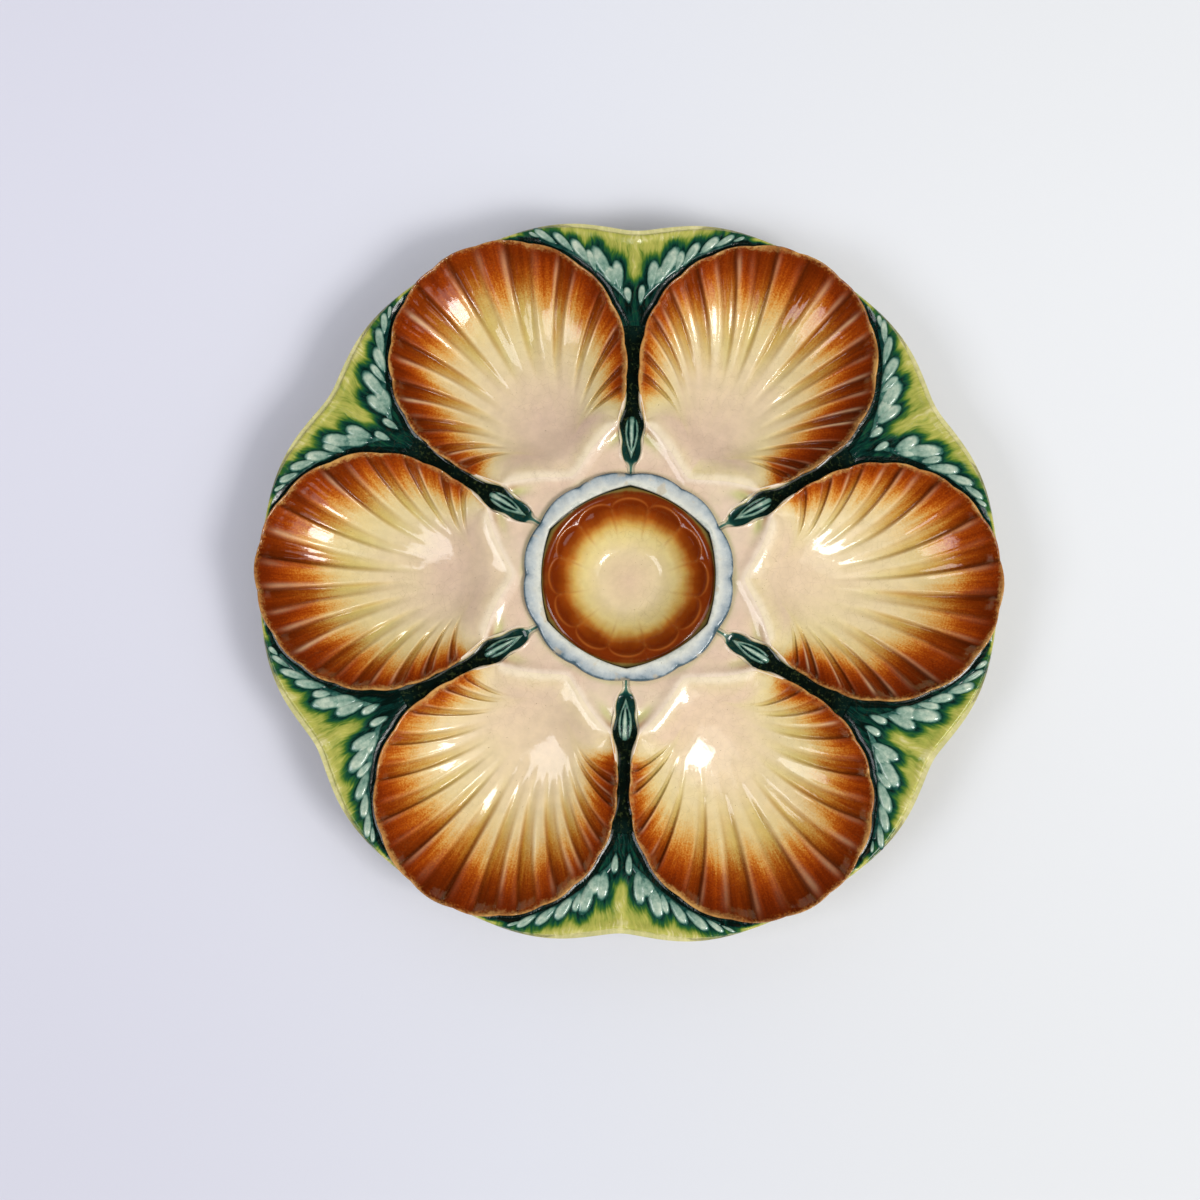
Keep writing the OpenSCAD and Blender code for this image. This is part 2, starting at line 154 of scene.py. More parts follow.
def shell_edge(psi):
    """Radius of a shell about its centre, psi degrees clockwise from its tip: a circle stretched
    towards the tip, pulled in where two scallops meet and flared towards the hinge corners; past
    those, a dipped chord to a rounded point."""
    psi = np.asarray(psi, float)
    s = psi / HINGE_A
    bulge = np.abs(np.cos(np.pi * rib_phase(s)))
    fade = np.clip(1 - np.abs(s) ** 8, 0, 1)
    flare = FLARE * (np.clip(np.abs(psi) - 108, 0, 40) / 39) ** 2
    margin = SHELL_R + STRETCH * np.cos(np.radians(psi)) - SCALLOP * (1 - bulge * fade) + flare
    turn = np.radians(183 - np.hypot(180 - np.abs(psi), 3))
    corner = math.radians(CORNER_A)
    corner_r = SHELL_R + STRETCH * math.cos(corner) - SCALLOP + FLARE
    cx, cy = corner_r * math.cos(corner), -corner_r * math.sin(corner)
    ux = UMBO_R - CENTRE_R
    wx, wy = np.cos(turn), -np.sin(turn)
    t = -(cx * wy - cy * wx) / ((ux - cx) * wy + cy * wx + 1e-12)
    chord = np.hypot(cx + t * (ux - cx), cy - t * cy)
    dip = 0.03 * np.sin(np.radians(180 * (np.abs(psi) - CORNER_A) / (180 - CORNER_A)))
    return np.where(np.abs(psi) <= CORNER_A, margin, chord * (1 - dip))


def blurred_edge(width):
    """The shell's outline with its radius averaged over a bell of so many degrees."""
    a = np.arange(-180, 180, 0.5)
    bell = np.exp(-((a / width) ** 2) / 2)
    blend = np.fft.rfft(shell_edge(a)) * np.fft.rfft(np.fft.ifftshift(bell / bell.sum()))
    return a, np.fft.irfft(blend, len(a))


def shell_xy(psi, inset):
    """Points of a shell's outline moved in by the inset, where the shell lies on +X."""
    r = shell_edge(psi) - inset
    a = np.radians(psi)
    return np.stack([CENTRE_R + r * np.cos(a), -r * np.sin(a)], -1)


def beside_shell(x, y, side):
    """Distance outside the outline of the shell that lies 30 degrees to one side of +X."""
    a = math.radians(30 * side)
    far, at = polar(x - CENTRE_R * math.cos(a), y - CENTRE_R * math.sin(a))
    return far - shell_edge((30 * side - at + 180) % 360 - 180)


def turned(points, degrees):
    """The points turned about the plate's axis."""
    a = math.radians(degrees)
    out = np.array(points, float)
    x, y = out[..., 0].copy(), out[..., 1].copy()
    out[..., 0] = x * math.cos(a) - y * math.sin(a)
    out[..., 1] = x * math.sin(a) + y * math.cos(a)
    return out


# Mesh makers


def grid_quads(rows, cols, wrap_rows=False, wrap_cols=False, start=0):
    """Quads of a grid whose row direction crossed with its column direction points outwards."""
    j = np.arange(rows if wrap_rows else rows - 1)
    i = np.arange(cols if wrap_cols else cols - 1)
    j, i = [g.ravel() for g in np.meshgrid(j, i, indexing="ij")]
    j2, i2 = (j + 1) % rows, (i + 1) % cols
    return start + np.stack([j * cols + i, j2 * cols + i, j2 * cols + i2, j * cols + i2], 1)


def pole_tris(pole, ring, flip=False):
    """Fan that closes a ring onto one point."""
    fan = np.stack([np.full(len(ring), pole), ring, np.roll(ring, -1)], 1)
    return fan[:, ::-1] if flip else fan


def rings_form(rows, top, bottom, turn=0.0):
    """Closed form made of rings that run out from a top point, over the edge and in to a bottom
    point, turned about the plate's axis."""
    m, n = rows.shape[:2]
    points = turned(np.concatenate([rows.reshape(-1, 3), [top], [bottom]]), turn)
    first = np.arange(n)
    caps = [pole_tris(m * n, first), pole_tris(m * n + 1, (m - 1) * n + first, flip=True)]
    return points, [grid_quads(m, n, wrap_cols=True), *caps]


def loop_form(rows):
    """Closed ring: a closed profile carried round the plate's axis."""
    m, n = rows.shape[:2]
    return rows.reshape(-1, 3), [grid_quads(m, n, wrap_rows=True, wrap_cols=True)]


def sheet_form(top, back, turn):
    """Closed slab between a top grid and a back grid of the same size, turned about the axis."""
    m, n = top.shape[:2]
    ids = np.arange(m * n).reshape(m, n)
    border = np.concatenate([ids[:-1, 0], ids[-1, :-1], ids[:0:-1, -1], ids[0, :0:-1]])
    nxt = np.roll(border, -1)
    wall = np.stack([border, border + m * n, nxt + m * n, nxt], 1)
    points = turned(np.concatenate([top.reshape(-1, 3), back.reshape(-1, 3)]), turn)
    return points, [grid_quads(m, n), grid_quads(m, n, start=m * n)[:, ::-1], wall]


def put_in_scene(name, data):
    """Links a new object, which stands at the origin."""
    thing = bpy.data.objects.new(name, data)
    bpy.context.scene.collection.objects.link(thing)
    return thing


def lay(name, points, faces, marks, node, slot, glaze, crease=60):
    """Lays a closed mesh in metres, with its marks as attributes, in place of a CAD node."""
    mesh = bpy.data.meshes.new(name)
    sizes = np.concatenate([np.full(len(f), f.shape[1]) for f in faces])
    corners = np.concatenate([f.ravel() for f in faces]).astype(np.int32)
    mesh.vertices.add(len(points))
    mesh.vertices.foreach_set("co", (points * MM).astype(np.float32).ravel())
    mesh.loops.add(len(corners))
    mesh.loops.foreach_set("vertex_index", corners)
    mesh.polygons.add(len(sizes))
    mesh.polygons.foreach_set("loop_start", (np.cumsum(sizes) - sizes).astype(np.int32))
    mesh.polygons.foreach_set("use_smooth", np.ones(len(sizes), bool))
    mesh.update(calc_edges=True)
    for mark, values in marks.items():
        layer = mesh.attributes.new(mark, "FLOAT", "POINT")
        layer.data.foreach_set("value", np.asarray(values, np.float32).ravel())
    mesh.set_sharp_from_angle(angle=math.radians(crease))
    mesh.materials.append(glaze)
    piece = put_in_scene(name, mesh)
    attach(piece, "root")
    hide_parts(node)


def lay_slabs(name, x, y, z, low, marks, node, slot, glaze, start=0.0, strands=None):
    """Lays a slab six times round the axis, the first one `start` of a pitch round. Its back lies
    under its top at the heights `low`. A mark is two values or grids: the top's and the back's."""
    top, back = np.stack([x, y, z], -1), np.stack([x, y, low], -1)
    marks = {mark: np.concatenate([np.broadcast_to(v, x.shape).ravel() for v in pair])
             for mark, pair in marks.items()}
    for k in range(SHELLS):
        points, faces = sheet_form(top, back, PITCH * (k + start))
        if strands:
            marks["strand"] = np.full(len(points), strands * k)
        lay(f"{name}_{k + 1}", points, faces, marks, f"{node}_{k + 1}", slot, glaze)


# Glazes

BACK_CREAM = (206, 194, 156)
# Pale of thin glaze on the hinge ridge, partly a painted highlight there
RIDGE_PALE_AND_HIGHLIGHT = (240, 226, 204)


def tone(red, green, blue):
    """A screen colour, 0 to 255, as the linear colour that the shader wants."""
    shares = [c / 255 for c in (red, green, blue)]
    return (*[c / 12.92 if c <= 0.04045 else ((c + 0.055) / 1.055) ** 2.4 for c in shares], 1.0)


class Flow:
    """A number, colour or normal on its way through a glaze's nodes. Sums on it add Math nodes."""

    def __init__(self, glaze, socket):
        self.glaze, self.socket = glaze, socket

    def __add__(self, other):
        return self.glaze.sum("ADD", self, other)

    def __sub__(self, other):
        return self.glaze.sum("SUBTRACT", self, other)

    def __rsub__(self, other):
        return self.glaze.sum("SUBTRACT", other, self)

    def __mul__(self, other):
        return self.glaze.sum("MULTIPLY", self, other)


class Glaze:
    """One glaze's node tree, with short ways to add to it. Values may be flows or numbers."""

    def __init__(self, name):
        self.material = bpy.data.materials.new(name)
        self.material.use_nodes = True
        self.tree = self.material.node_tree
        self.shader = next(n for n in self.tree.nodes if n.type == "BSDF_PRINCIPLED")
        self.place = self.through("TexCoord", {}, "Object")

    def through(self, kind, values, output=0, **settings):
        """Adds a node, feeds its inputs by name or number, and gives one of its outputs."""
        made = self.tree.nodes.new("ShaderNode" + kind)
        for key, value in settings.items():
            setattr(made, key, value)
        self.feed(made, values)
        return Flow(self, made.outputs[output])

    def feed(self, node, values):
        for key, value in values.items() if isinstance(values, dict) else enumerate(values):
            if isinstance(value, Flow):
                self.tree.links.new(value.socket, node.inputs[key])
            else:
                node.inputs[key].default_value = value

    def marks(self, names):
        """The piece's own marks, by their names in one line."""
        return [self.through("Attribute", {}, "Fac", attribute_name=name) for name in names.split()]

    def sum(self, operation, *values):
        return self.through("Math", values, operation=operation)

    def span(self, value, low, high, out_low=0.0, out_high=1.0):
        """Smooth step from one level to another."""
        return self.through("MapRange", (value, low, high, out_low, out_high),
                            interpolation_type="SMOOTHSTEP")

    def mix(self, share, a, b, blend="MIX"):
        return self.through("Mix", {0: share, 6: a, 7: b}, 2, data_type="RGBA", blend_type=blend)

    def tint(self, colour, share, rgb):
        """Lays a screen colour over another."""
        return self.mix(share, colour, tone(*rgb))

    def ramp(self, value, *stops):
        """Colour by level, through stops of a level and a screen colour each."""
        made = self.tree.nodes.new("ShaderNodeValToRGB")
        line = made.color_ramp.elements
        for k, (at, *rgb) in enumerate(stops):
            stop = line[k] if k < 2 else line.new(at)
            stop.position = at
            stop.color = tone(*rgb)
        self.feed(made, (value,))
        return Flow(self, made.outputs[0])

    def vector(self, x, y, z):
        return self.through("CombineXYZ", (x, y, z))

    def shade(self, colour, level):
        """Darkens or lightens a colour by a level."""
        return self.mix(1.0, colour, self.vector(level, level, level), "MULTIPLY")

    def noise(self, scale, detail=2.0, rough=0.5, at=None):
        values = {"Vector": at or self.place, "Scale": scale, "Detail": detail, "Roughness": rough}
        return self.through("TexNoise", values, "Fac")

    def drift(self, size, *noise):
        """Noise about 0, so much from its lowest to its highest."""
        return (self.noise(*noise) - 0.5) * size

    def cracks(self, scale, width):
        """1 on the fine lines of a crazed glaze, else 0."""
        wobble = self.through("TexNoise", {"Vector": self.place, "Scale": scale * 1.7}, "Color")
        wobble = self.through("VectorMath", {0: wobble, "Scale": 0.5 / scale}, operation="SCALE")
        bent = self.through("VectorMath", (self.place, wobble), operation="ADD")
        away = self.through("TexVoronoi", {"Vector": bent, "Scale": scale}, "Distance",
                            feature="DISTANCE_TO_EDGE")
        return self.span(away, width, 0.0)

    def bump(self, height, strength, distance, under=None):
        values = {"Height": height, "Strength": strength, "Distance": distance}
        if under:
            values["Normal"] = under
        return self.through("Bump", values, "Normal")

    def skin(self, colour, craze, mottle):
        """What all the glazes share: cloudy mottling, fine crazing, pinholes and an uneven gloss."""
        cloud = self.noise(260, 4, 0.6)
        colour = self.shade(colour, self.span(cloud, 0.25, 0.75, 1 - mottle, 1 + mottle * 0.6))
        lines = self.cracks(330, 0.035) * self.span(self.noise(40, 1), 0.4, 0.6)
        colour = self.tint(colour, lines * craze, (120, 84, 48))
        pits = self.span(self.noise(1500, 1, 0.4), 0.77, 0.8)
        colour = self.tint(colour, pits * 0.5, (92, 60, 28))
        ripple = self.bump(self.noise(190), 0.10, 0.0012)
        return colour, self.bump(self.noise(1300, 2, 0.6), 0.06, 0.0003, ripple)

    def fire(self, colour, normal, roughness=0.08, coat=0.14):
        """Finishes the glaze: its colour and dips, with a thin glossy coat over them."""
        self.feed(self.shader, {
            "Base Color": colour, "Normal": normal, "Roughness": roughness, "IOR": 1.5,
            "Specular IOR Level": 0.42, "Coat Weight": coat, "Coat Roughness": 0.04,
        })
        return self.material


def pale_and_highlight_on_ridge(g, colour, ridge):
    """The glaze runs off the ridge round the hinge and leaves it pale; the pale tint is also a painted
    highlight along the ridge.
    """
    return g.tint(colour, g.span(ridge + g.drift(0.5, 260, 3, 0.6), 0.2, 1.0) * 0.5, RIDGE_PALE_AND_HIGHLIGHT)


def amber_glaze():
    """Well glaze: rust brown at the margin, running in streaks down the ribs to amber and cream.
    It gathers dark in the furrows and is thin in patches on the lip. Chosen crests and the hinge
    ridge are pale, partly from thin glaze and partly as a painted highlight. It is dark on the wall
    beside a gully and cream on the back."""
    g = Glaze("amber_glaze")
    reach, furrow, crest, line, edge, strand, warm, rosy, ear, ridge, wall, gully, under = g.marks(
        "reach furrow crest line edge strand warm rosy ear ridge wall gully under")

    def runs(across, along, layer, detail=2.0, rough=0.5):
        """Streaks that follow the ribs, so many round the margin."""
        return g.noise(1.0, detail, rough, g.vector(strand * across, reach * along, layer))

    outer = g.span(reach, 0.48, 0.8)
    streaks, fine = runs(34.0, 2.2, 0.0, 3, 0.55), runs(120.0, 6.0, 3.0)
    shift = (streaks - 0.5) * 0.16 * outer + (fine - 0.5) * 0.10 * outer
    shift = shift + (g.noise(1700, 2, 0.6) - 0.5) * g.span(reach, 0.4, 0.8, 0.04, 0.17)
    level = (reach + warm + (shift + g.drift(0.10, 70))) * 0.92
    rib = g.ramp(
        level, (0.0, 220, 198, 166), (0.36, 223, 202, 164), (0.5, 223, 202, 158),
        (0.60, 220, 192, 138), (0.67, 212, 164, 92), (0.72, 200, 130, 50), (0.76, 178, 90, 20),
        (0.81, 150, 60, 8), (0.88, 118, 40, 5), (1.0, 80, 25, 4))
    hollow = g.ramp(
        level, (0.0, 218, 196, 162), (0.30, 218, 197, 156), (0.42, 211, 189, 130),
        (0.54, 203, 170, 96), (0.64, 188, 138, 52), (0.70, 170, 102, 26), (0.76, 144, 68, 12),
        (0.81, 122, 48, 6), (0.88, 104, 37, 4), (1.0, 70, 23, 3))
    gathered = g.ramp(
        level, (0.36, 204, 180, 120), (0.50, 184, 144, 70), (0.62, 156, 92, 26),
        (0.72, 116, 48, 7), (0.85, 72, 25, 4), (1.0, 54, 19, 4))
    colour = g.mix(line * 0.72, g.mix(furrow, rib, hollow), gathered)
    # Painted highlight, in part: chosen crests are screened towards warm white, beyond what thin glaze
    # gives.
    crest_pale_and_highlight = g.mix(1.0, rib, tone(255, 226, 178), "SCREEN")
    chosen = g.span(runs(11.0, 1.5, 9.0, 1), 0.42, 0.66, 0.04, 0.42)
    colour = g.mix(crest * chosen * g.span(reach, 0.99, 0.9, 0.4, 1.0), colour, crest_pale_and_highlight)
    blush = g.span(level, 0.58, 0.12) * rosy * g.span(g.noise(22, 3), 0.3, 0.66, 0.3, 1.0)
    colour = g.tint(colour, blush * 0.75, (220, 188, 172))
    moss = g.span(g.noise(26, 3), 0.42, 0.62) * (g.span(level, 0.74, 0.58) * g.span(level, 0.12, 0.46))
    colour = g.tint(colour, moss * (furrow * 0.5 + 0.5) * 0.42, (204, 198, 122))
    # Painted highlight, in part: the ridge round the hinge is tinted pale.
    colour = pale_and_highlight_on_ridge(g, colour, ridge)
    margin = 1.0 - ear
    grains = g.span(g.noise(1100, 3, 0.7), 0.52, 0.64) * g.span(edge, 2.6, 0.4)
    colour = g.tint(colour, grains * 0.5 * margin, (196, 118, 44))
    fringe = edge + g.span(g.noise(52), 0.42, 0.66) * -1.1 + g.drift(4.6, 700, 5, 0.8)
    rim = g.span(fringe, 1.3, -0.5) * g.span(g.noise(75, 3, 0.6), 0.34, 0.62, 0.3, 0.85)
    colour = g.tint(colour, rim * margin, (208, 160, 92))
    plain = g.ramp(wall, (0.0, 224, 204, 156), (0.3, 214, 196, 150), (1.0, 203, 190, 146))
    dark = g.ramp(wall, (0.0, 170, 132, 78), (0.07, 74, 60, 32), (0.22, 12, 32, 26), (1.0, 10, 30, 26))
    colour = g.mix(g.span(wall, 0.0, 0.06), colour, g.mix(gully, plain, dark))
    colour, normal = g.skin(g.tint(colour, under, BACK_CREAM), 0.14, 0.07)
    return g.fire(colour, g.bump(fine * outer, 0.05, 0.0004, normal))


def cup_glaze():
    """Cup glaze: cream with a pink middle on the floor, amber where the wall starts, brown on the
    flutes with a lighter line round each, tan on the ledge and dark where it pools at the mouth."""
    g = Glaze("cup_glaze")
    out, around, flute, rib, seam, pool, under = g.marks("out around flute rib seam pool under")
    streak = g.noise(1.0, 2, 0.5, g.vector(around * 60.0, out * 2.0, 0.0))
    colour = g.ramp(
        out + g.drift(0.10, 120, 3, 0.6) + (streak - 0.5) * 0.06, (0.0, 216, 190, 160),
        (0.3, 218, 198, 158), (0.5, 220, 202, 140), (0.6, 208, 172, 92), (0.66, 186, 116, 42),
        (0.71, 152, 70, 14), (0.79, 118, 43, 6), (0.885, 116, 44, 9), (0.91, 122, 60, 18),
        (0.945, 128, 98, 44), (1.0, 132, 118, 66))
    colour = g.tint(colour, flute * g.span(out, 0.5, 0.72) * 0.30, (92, 34, 6))
    colour = g.tint(colour, rib * 0.5, (202, 118, 48))
    colour = g.tint(colour, seam * g.span(g.noise(260), 0.3, 0.7, 0.15, 0.6), (158, 92, 36))
    colour = g.tint(colour, pool, (16, 26, 16))
    return g.fire(*g.skin(g.tint(colour, under, BACK_CREAM), 0.16, 0.07))


def cream_glaze():
    """Hinge glaze: pinkish cream, olive in the scooped ears, a painted tan shadow crescent at their
    outer ends, pale on the ridge from thin glaze and partly as a painted highlight, and dark where it
    meets the beds."""
    g = Glaze("cream_glaze")
    pool, ridge, burn = g.marks("pool ridge burn")
    colour = g.ramp(
        pool + g.drift(0.4, 170, 3, 0.6), (0.0, 221, 196, 172), (0.25, 214, 196, 162),
        (0.5, 200, 192, 138), (0.75, 150, 150, 88), (1.0, 30, 50, 38))
    colour = g.tint(colour, g.span(g.noise(45), 0.44, 0.62) * 0.4, (216, 184, 160))
    colour = pale_and_highlight_on_ridge(g, colour, ridge)
    # Painted shadow: a tan crescent at the foot of the ridge's outer side.
    tan = burn * g.span(g.noise(300, 3, 0.6), 0.3, 0.6, 0.5, 1.0)
    return g.fire(*g.skin(g.tint(colour, tan * 0.6, (168, 116, 70)), 0.14, 0.07))


def pale_blue_glaze():
    """Collar glaze: grey-blue, mottled, darker at its outer edge, with a few tan spots."""
    g = Glaze("pale_blue_glaze")
    across, pool = g.marks("across pool")
    colour = g.ramp(
        across + (g.drift(0.8, 300, 5, 0.7) + g.drift(0.7, 60)), (0.0, 176, 182, 172),
        (0.2, 212, 212, 200), (0.5, 190, 195, 192), (0.78, 152, 164, 170), (0.94, 104, 122, 132),
        (1.0, 74, 94, 104))
    colour = g.tint(colour, g.span(g.noise(190), 0.62, 0.7) * 0.5, (196, 178, 146))
    return g.fire(*g.skin(g.tint(colour, pool, (34, 54, 56)), 0.06, 0.12))


def dark_green_glaze():
    """Channel glaze: nearly black green where it pools, teal and then cream where it thins."""
    g = Glaze("dark_green_glaze")
    thin, under = g.marks("thin under")
    colour = g.ramp(
        thin + g.drift(0.35, 300, 3, 0.6), (0.0, 8, 14, 9), (0.3, 10, 30, 26), (0.6, 22, 66, 60),
        (0.8, 76, 116, 100), (1.0, 196, 184, 156))
    colour = g.tint(colour, g.span(g.noise(760, 4, 0.7), 0.52, 0.68) * 0.45, (72, 84, 44))
    return g.fire(*g.skin(g.tint(colour, under, BACK_CREAM), 0.03, 0.10))


def leaf_glaze():
    """Leaf and bud glaze: pale grey-green on the crowns, dark teal in the hollows round them."""
    g = Glaze("leaf_glaze")
    (crown,) = g.marks("crown")
    colour = g.ramp(
        crown + (g.drift(0.75, 520, 5, 0.7) + g.drift(0.55, 150)), (0.0, 7, 34, 32),
        (0.18, 16, 58, 52), (0.36, 56, 100, 88), (0.56, 112, 144, 128), (0.78, 150, 172, 154),
        (1.0, 190, 201, 180))
    return g.fire(*g.skin(colour, 0.05, 0.10))


def green_glaze():
    """Ground glaze: yellow-green with darker streaks, teal in the hollows and round the leaves,
    ivory where it thins at the rim."""
    g = Glaze("green_glaze")
    height, edge, along, side, strand, under = g.marks("height edge along side strand under")
    bent = side + g.noise(90) * 0.16
    streak = g.noise(1.0, 4, 0.65, g.vector(bent * 46.0, along * 4.0, strand))
    colour = g.ramp(
        height + (streak - 0.5) * 0.75 + g.drift(0.34, 170, 3, 0.6) + g.drift(0.30, 45),
        (0.0, 6, 20, 16), (0.14, 10, 46, 40), (0.27, 22, 72, 48), (0.40, 50, 94, 40),
        (0.54, 102, 126, 46), (0.70, 154, 158, 72), (0.84, 178, 174, 86), (1.0, 208, 200, 140))
    rim = g.span(edge + g.drift(1.6, 420, 3, 0.7), 0.4, -0.3)
    colour = g.tint(colour, rim * 0.5, (226, 218, 172))
    colour, normal = g.skin(g.tint(colour, under, BACK_CREAM), 0.08, 0.10)
    return g.fire(colour, g.bump(streak, 0.3, 0.0006, normal))


def bare_body():
    """Unglazed clay of the foot, stained and scuffed where it stands."""
    g = Glaze("bare_body")
    (stand,) = g.marks("stand")
    colour = g.ramp(
        g.noise(300, 5, 0.7), (0.25, 176, 150, 112), (0.5, 206, 184, 146), (0.8, 222, 206, 172))
    colour = g.tint(colour, g.span(g.noise(2600, 1, 0.4), 0.66, 0.74) * 0.5, (120, 92, 60))
    colour = g.tint(colour, g.span(stand, 0.4, 0.9) * 0.45, (150, 124, 88))
    return g.fire(colour, g.bump(g.noise(1900, 3, 0.6), 0.35, 0.0003), roughness=0.72, coat=0.0)


# Shell wells

# The shells come from three moulds, used in turn. For each furrow of a mould: its place round the
# margin as a share of HINGE_A, and its half width
MOULDS = [
    [(-0.91, 0.014), (-0.81, 0.016), (-0.70, 0.021), (-0.57, 0.026), (-0.44, 0.031),
     (-0.268, 0.033), (-0.105, 0.034), (0.078, 0.040), (0.253, 0.032), (0.444, 0.033),
     (0.59, 0.026), (0.72, 0.022), (0.856, 0.017), (0.935, 0.012)],
    [(-0.875, 0.013), (-0.80, 0.016), (-0.68, 0.024), (-0.573, 0.028), (-0.455, 0.032),
     (-0.313, 0.033), (-0.173, 0.035), (0.003, 0.042), (0.174, 0.030), (0.328, 0.026),
     (0.462, 0.024), (0.585, 0.022), (0.72, 0.020), (0.858, 0.019), (0.93, 0.012)],
    [(-0.885, 0.015), (-0.79, 0.022), (-0.66, 0.027), (-0.516, 0.028), (-0.365, 0.030),
     (-0.186, 0.039), (0.018, 0.046), (0.222, 0.044), (0.40, 0.027), (0.577, 0.021),
     (0.717, 0.020), (0.848, 0.016), (0.92, 0.012)],
]
# Sideways drift of the furrows a third of the way in, by place round the margin
DRIFT_AT = [-0.9, -0.8, -0.68, -0.57, -0.44, -0.3, -0.17, 0, 0.2, 0.4, 0.58, 0.72, 0.85, 0.95]
DRIFT = [-0.02, -0.015, 0, 0.015, 0.03, 0.035, 0.025, 0.005, -0.015, -0.015, 0.01, 0.035, 0.04, 0.04]
# How far the brown runs in from each shell's margin, at places round it, and how pink its floor is
WARM_AT = [-0.8, -0.6, -0.4, -0.2, 0, 0.2, 0.4, 0.6, 0.8]
WARM = [
    [-0.08, -0.08, -0.05, -0.04, -0.03, 0.01, 0.05, 0.05, 0.02],
    [-0.11, -0.09, -0.04, -0.01, -0.01, -0.03, 0.02, 0.07, 0.07],
    [-0.05, 0.02, -0.01, -0.03, -0.04, -0.03, -0.02, -0.03, -0.05],
    [-0.04, -0.03, -0.01, 0.01, 0.01, -0.05, -0.01, -0.06, -0.08],
    [0.01, -0.03, -0.02, 0.0, 0.02, -0.01, -0.06, -0.15, -0.11],
    [-0.08, -0.06, -0.04, -0.01, 0.02, 0.02, 0.02, -0.02, -0.11],
]
ROSY = [0.2, 0.6, 0.8, 1.0, 0.4, 0.4]
# How far in from the outline each ring of the lip lies, and how high it stands
LIP = [(0.72, 0.16), (0.54, 0.27), (0.36, 0.3), (0.2, 0.22), (0.08, 0.0), (0.0, -0.3)]
# Rings of the outer wall as shares of its fall, and of the back as shares of the way from the pole
WALL = [0.08, 0.2, 0.4, 0.65, 0.88, 0.97]
BACK = [1.0, 0.994, 0.97, 0.9, 0.8, 0.68, 0.55, 0.42, 0.3, 0.18, 0.07]


def reach_of(x, y):
    """Place of a point on a shell's ribs. A rib is a quadratic curve from the hinge point U, held
    towards the stem T, to a point M of the margin; for each point the share w along its rib is
    found by halving, where the M it implies lies on the margin. Gives w and M's angle."""
    umbo = UMBO_R - CENTRE_R
    ux, tx = umbo + 1.3 * LIP_W, umbo + STEM_SHARE * (SHELL_R + STRETCH - umbo)
    low, high = np.full(x.shape, 0.02), np.ones(x.shape)
    for _ in range(HALVINGS):
        w = (low + high) / 2
        pull = 2 * w * (1 - w)
        k = pull * HOLD_SHARE + w * w
        far, at = polar((x - (1 - w) ** 2 * ux - pull * (1 - HOLD_SHARE) * tx) / k, y / k)
        outside = far > shell_edge(-at) - LIP_W
        low, high = np.where(outside, w, low), np.where(outside, high, w)
    return w, -at


def rib_relief(w, s, mould):
    """Relief of the ribs over the share w along them and the place s round the margin, with its
    marks. Across a furrow v runs from -1 to 1: it is steep on the side towards the shell's middle,
    slopes up on the other and is shallower at both ends. Crests are thin raised lines along its
    edges, ridges and grooves fine lines on its floor and on the ribs near the margin, and the pool
    is the line where glaze gathers at the foot of the steep side."""
    line, half = np.array(MOULDS[mould]).T
    s = s - np.interp(s, DRIFT_AT, DRIFT) * np.clip((0.95 - w) / 0.33, 0, 1.6)
    near = np.searchsorted((line[1:] + line[:-1]) / 2, s)
    half = half[near]
    v = (s - line[near]) / half * np.where(line[near] < 0, 1, -1)
    short = np.clip(np.abs(s), 0, 1) ** 3
    soft = np.clip(0.55 * smooth(w, 0.86, 0.5) + 0.3 * short, 0, 0.7)
    deep = smooth(w, 0.30 + 0.3 * short, 0.68 + 0.16 * short) * (0.25 + 0.75 * smooth(w, 1.0, 0.94))
    deep = deep * (1 - 0.4 * smooth(np.abs(s), 0.84, 1.0))
    floor = smooth(v, -1.3 - soft, -0.8 + soft) * (0.6 + 0.4 * smooth(v, -0.8, 0.7))
    furrow = floor * (1 - smooth(v, 0.8 - soft, 1.15 + soft)) * deep
    crest = hump(v, -1.42, 0.26 + soft * 0.3) + 0.6 * hump(v, 1.34, 0.26 + soft * 0.3)
    crest = crest * deep * smooth(w, 0.5, 0.7)
    apart = np.where(half > 0.036, 0.4, 0.0)
    ridges = np.maximum(hump(v, apart, 0.13), hump(v, -apart, 0.13)) * (half > 0.0235)
    ridges = ridges * smooth(w, 0.80, 0.88)
    bounds = np.concatenate([[-1.0], line, [1.0]])
    left, right = [bounds[np.searchsorted(line, s) + i] for i in (0, 1)]
    t = (s - left) / (right - left)
    wide = smooth(right - left, 0.10, 0.15)
    grooves = (hump(t, 0.5, 0.035) + 0.8 * hump(t, 0.38, 0.03) + 0.6 * hump(t, 0.64, 0.03)) * wide
    grooves = grooves * smooth(w, 0.84, 0.92) * smooth(w, 0.985, 0.96)
    rib = (1 - (2 * np.clip(t, 0, 1) - 1) ** 2) * wide * deep
    pool = hump(v, 0.86, 0.26 + 0.3 * soft) + 0.35 * hump(v, -0.9, 0.25)
    pool = pool * smooth(w, 0.40 + 0.2 * short, 0.62 + 0.1 * short)
    relief = -RIB_DEPTH * furrow * (1 - 0.25 * ridges) + 0.17 * crest * smooth(w, 0.99, 0.93)
    return relief - 0.13 * grooves + 0.26 * rib, furrow, crest, pool


def warm_shift(s, k):
    """Shift of the brown from the shell's own row of WARM, with a little more or less on each rib;
    none of it past the hinge corners."""
    own = np.interp(s, WARM_AT, WARM[k])
    own = own + 0.014 * np.sin(31 * s + 2.1 * k) + 0.010 * np.sin(57 * s + 1.3 * k)
    return own - 0.50 * smooth(np.abs(s), 0.90, 1.05)


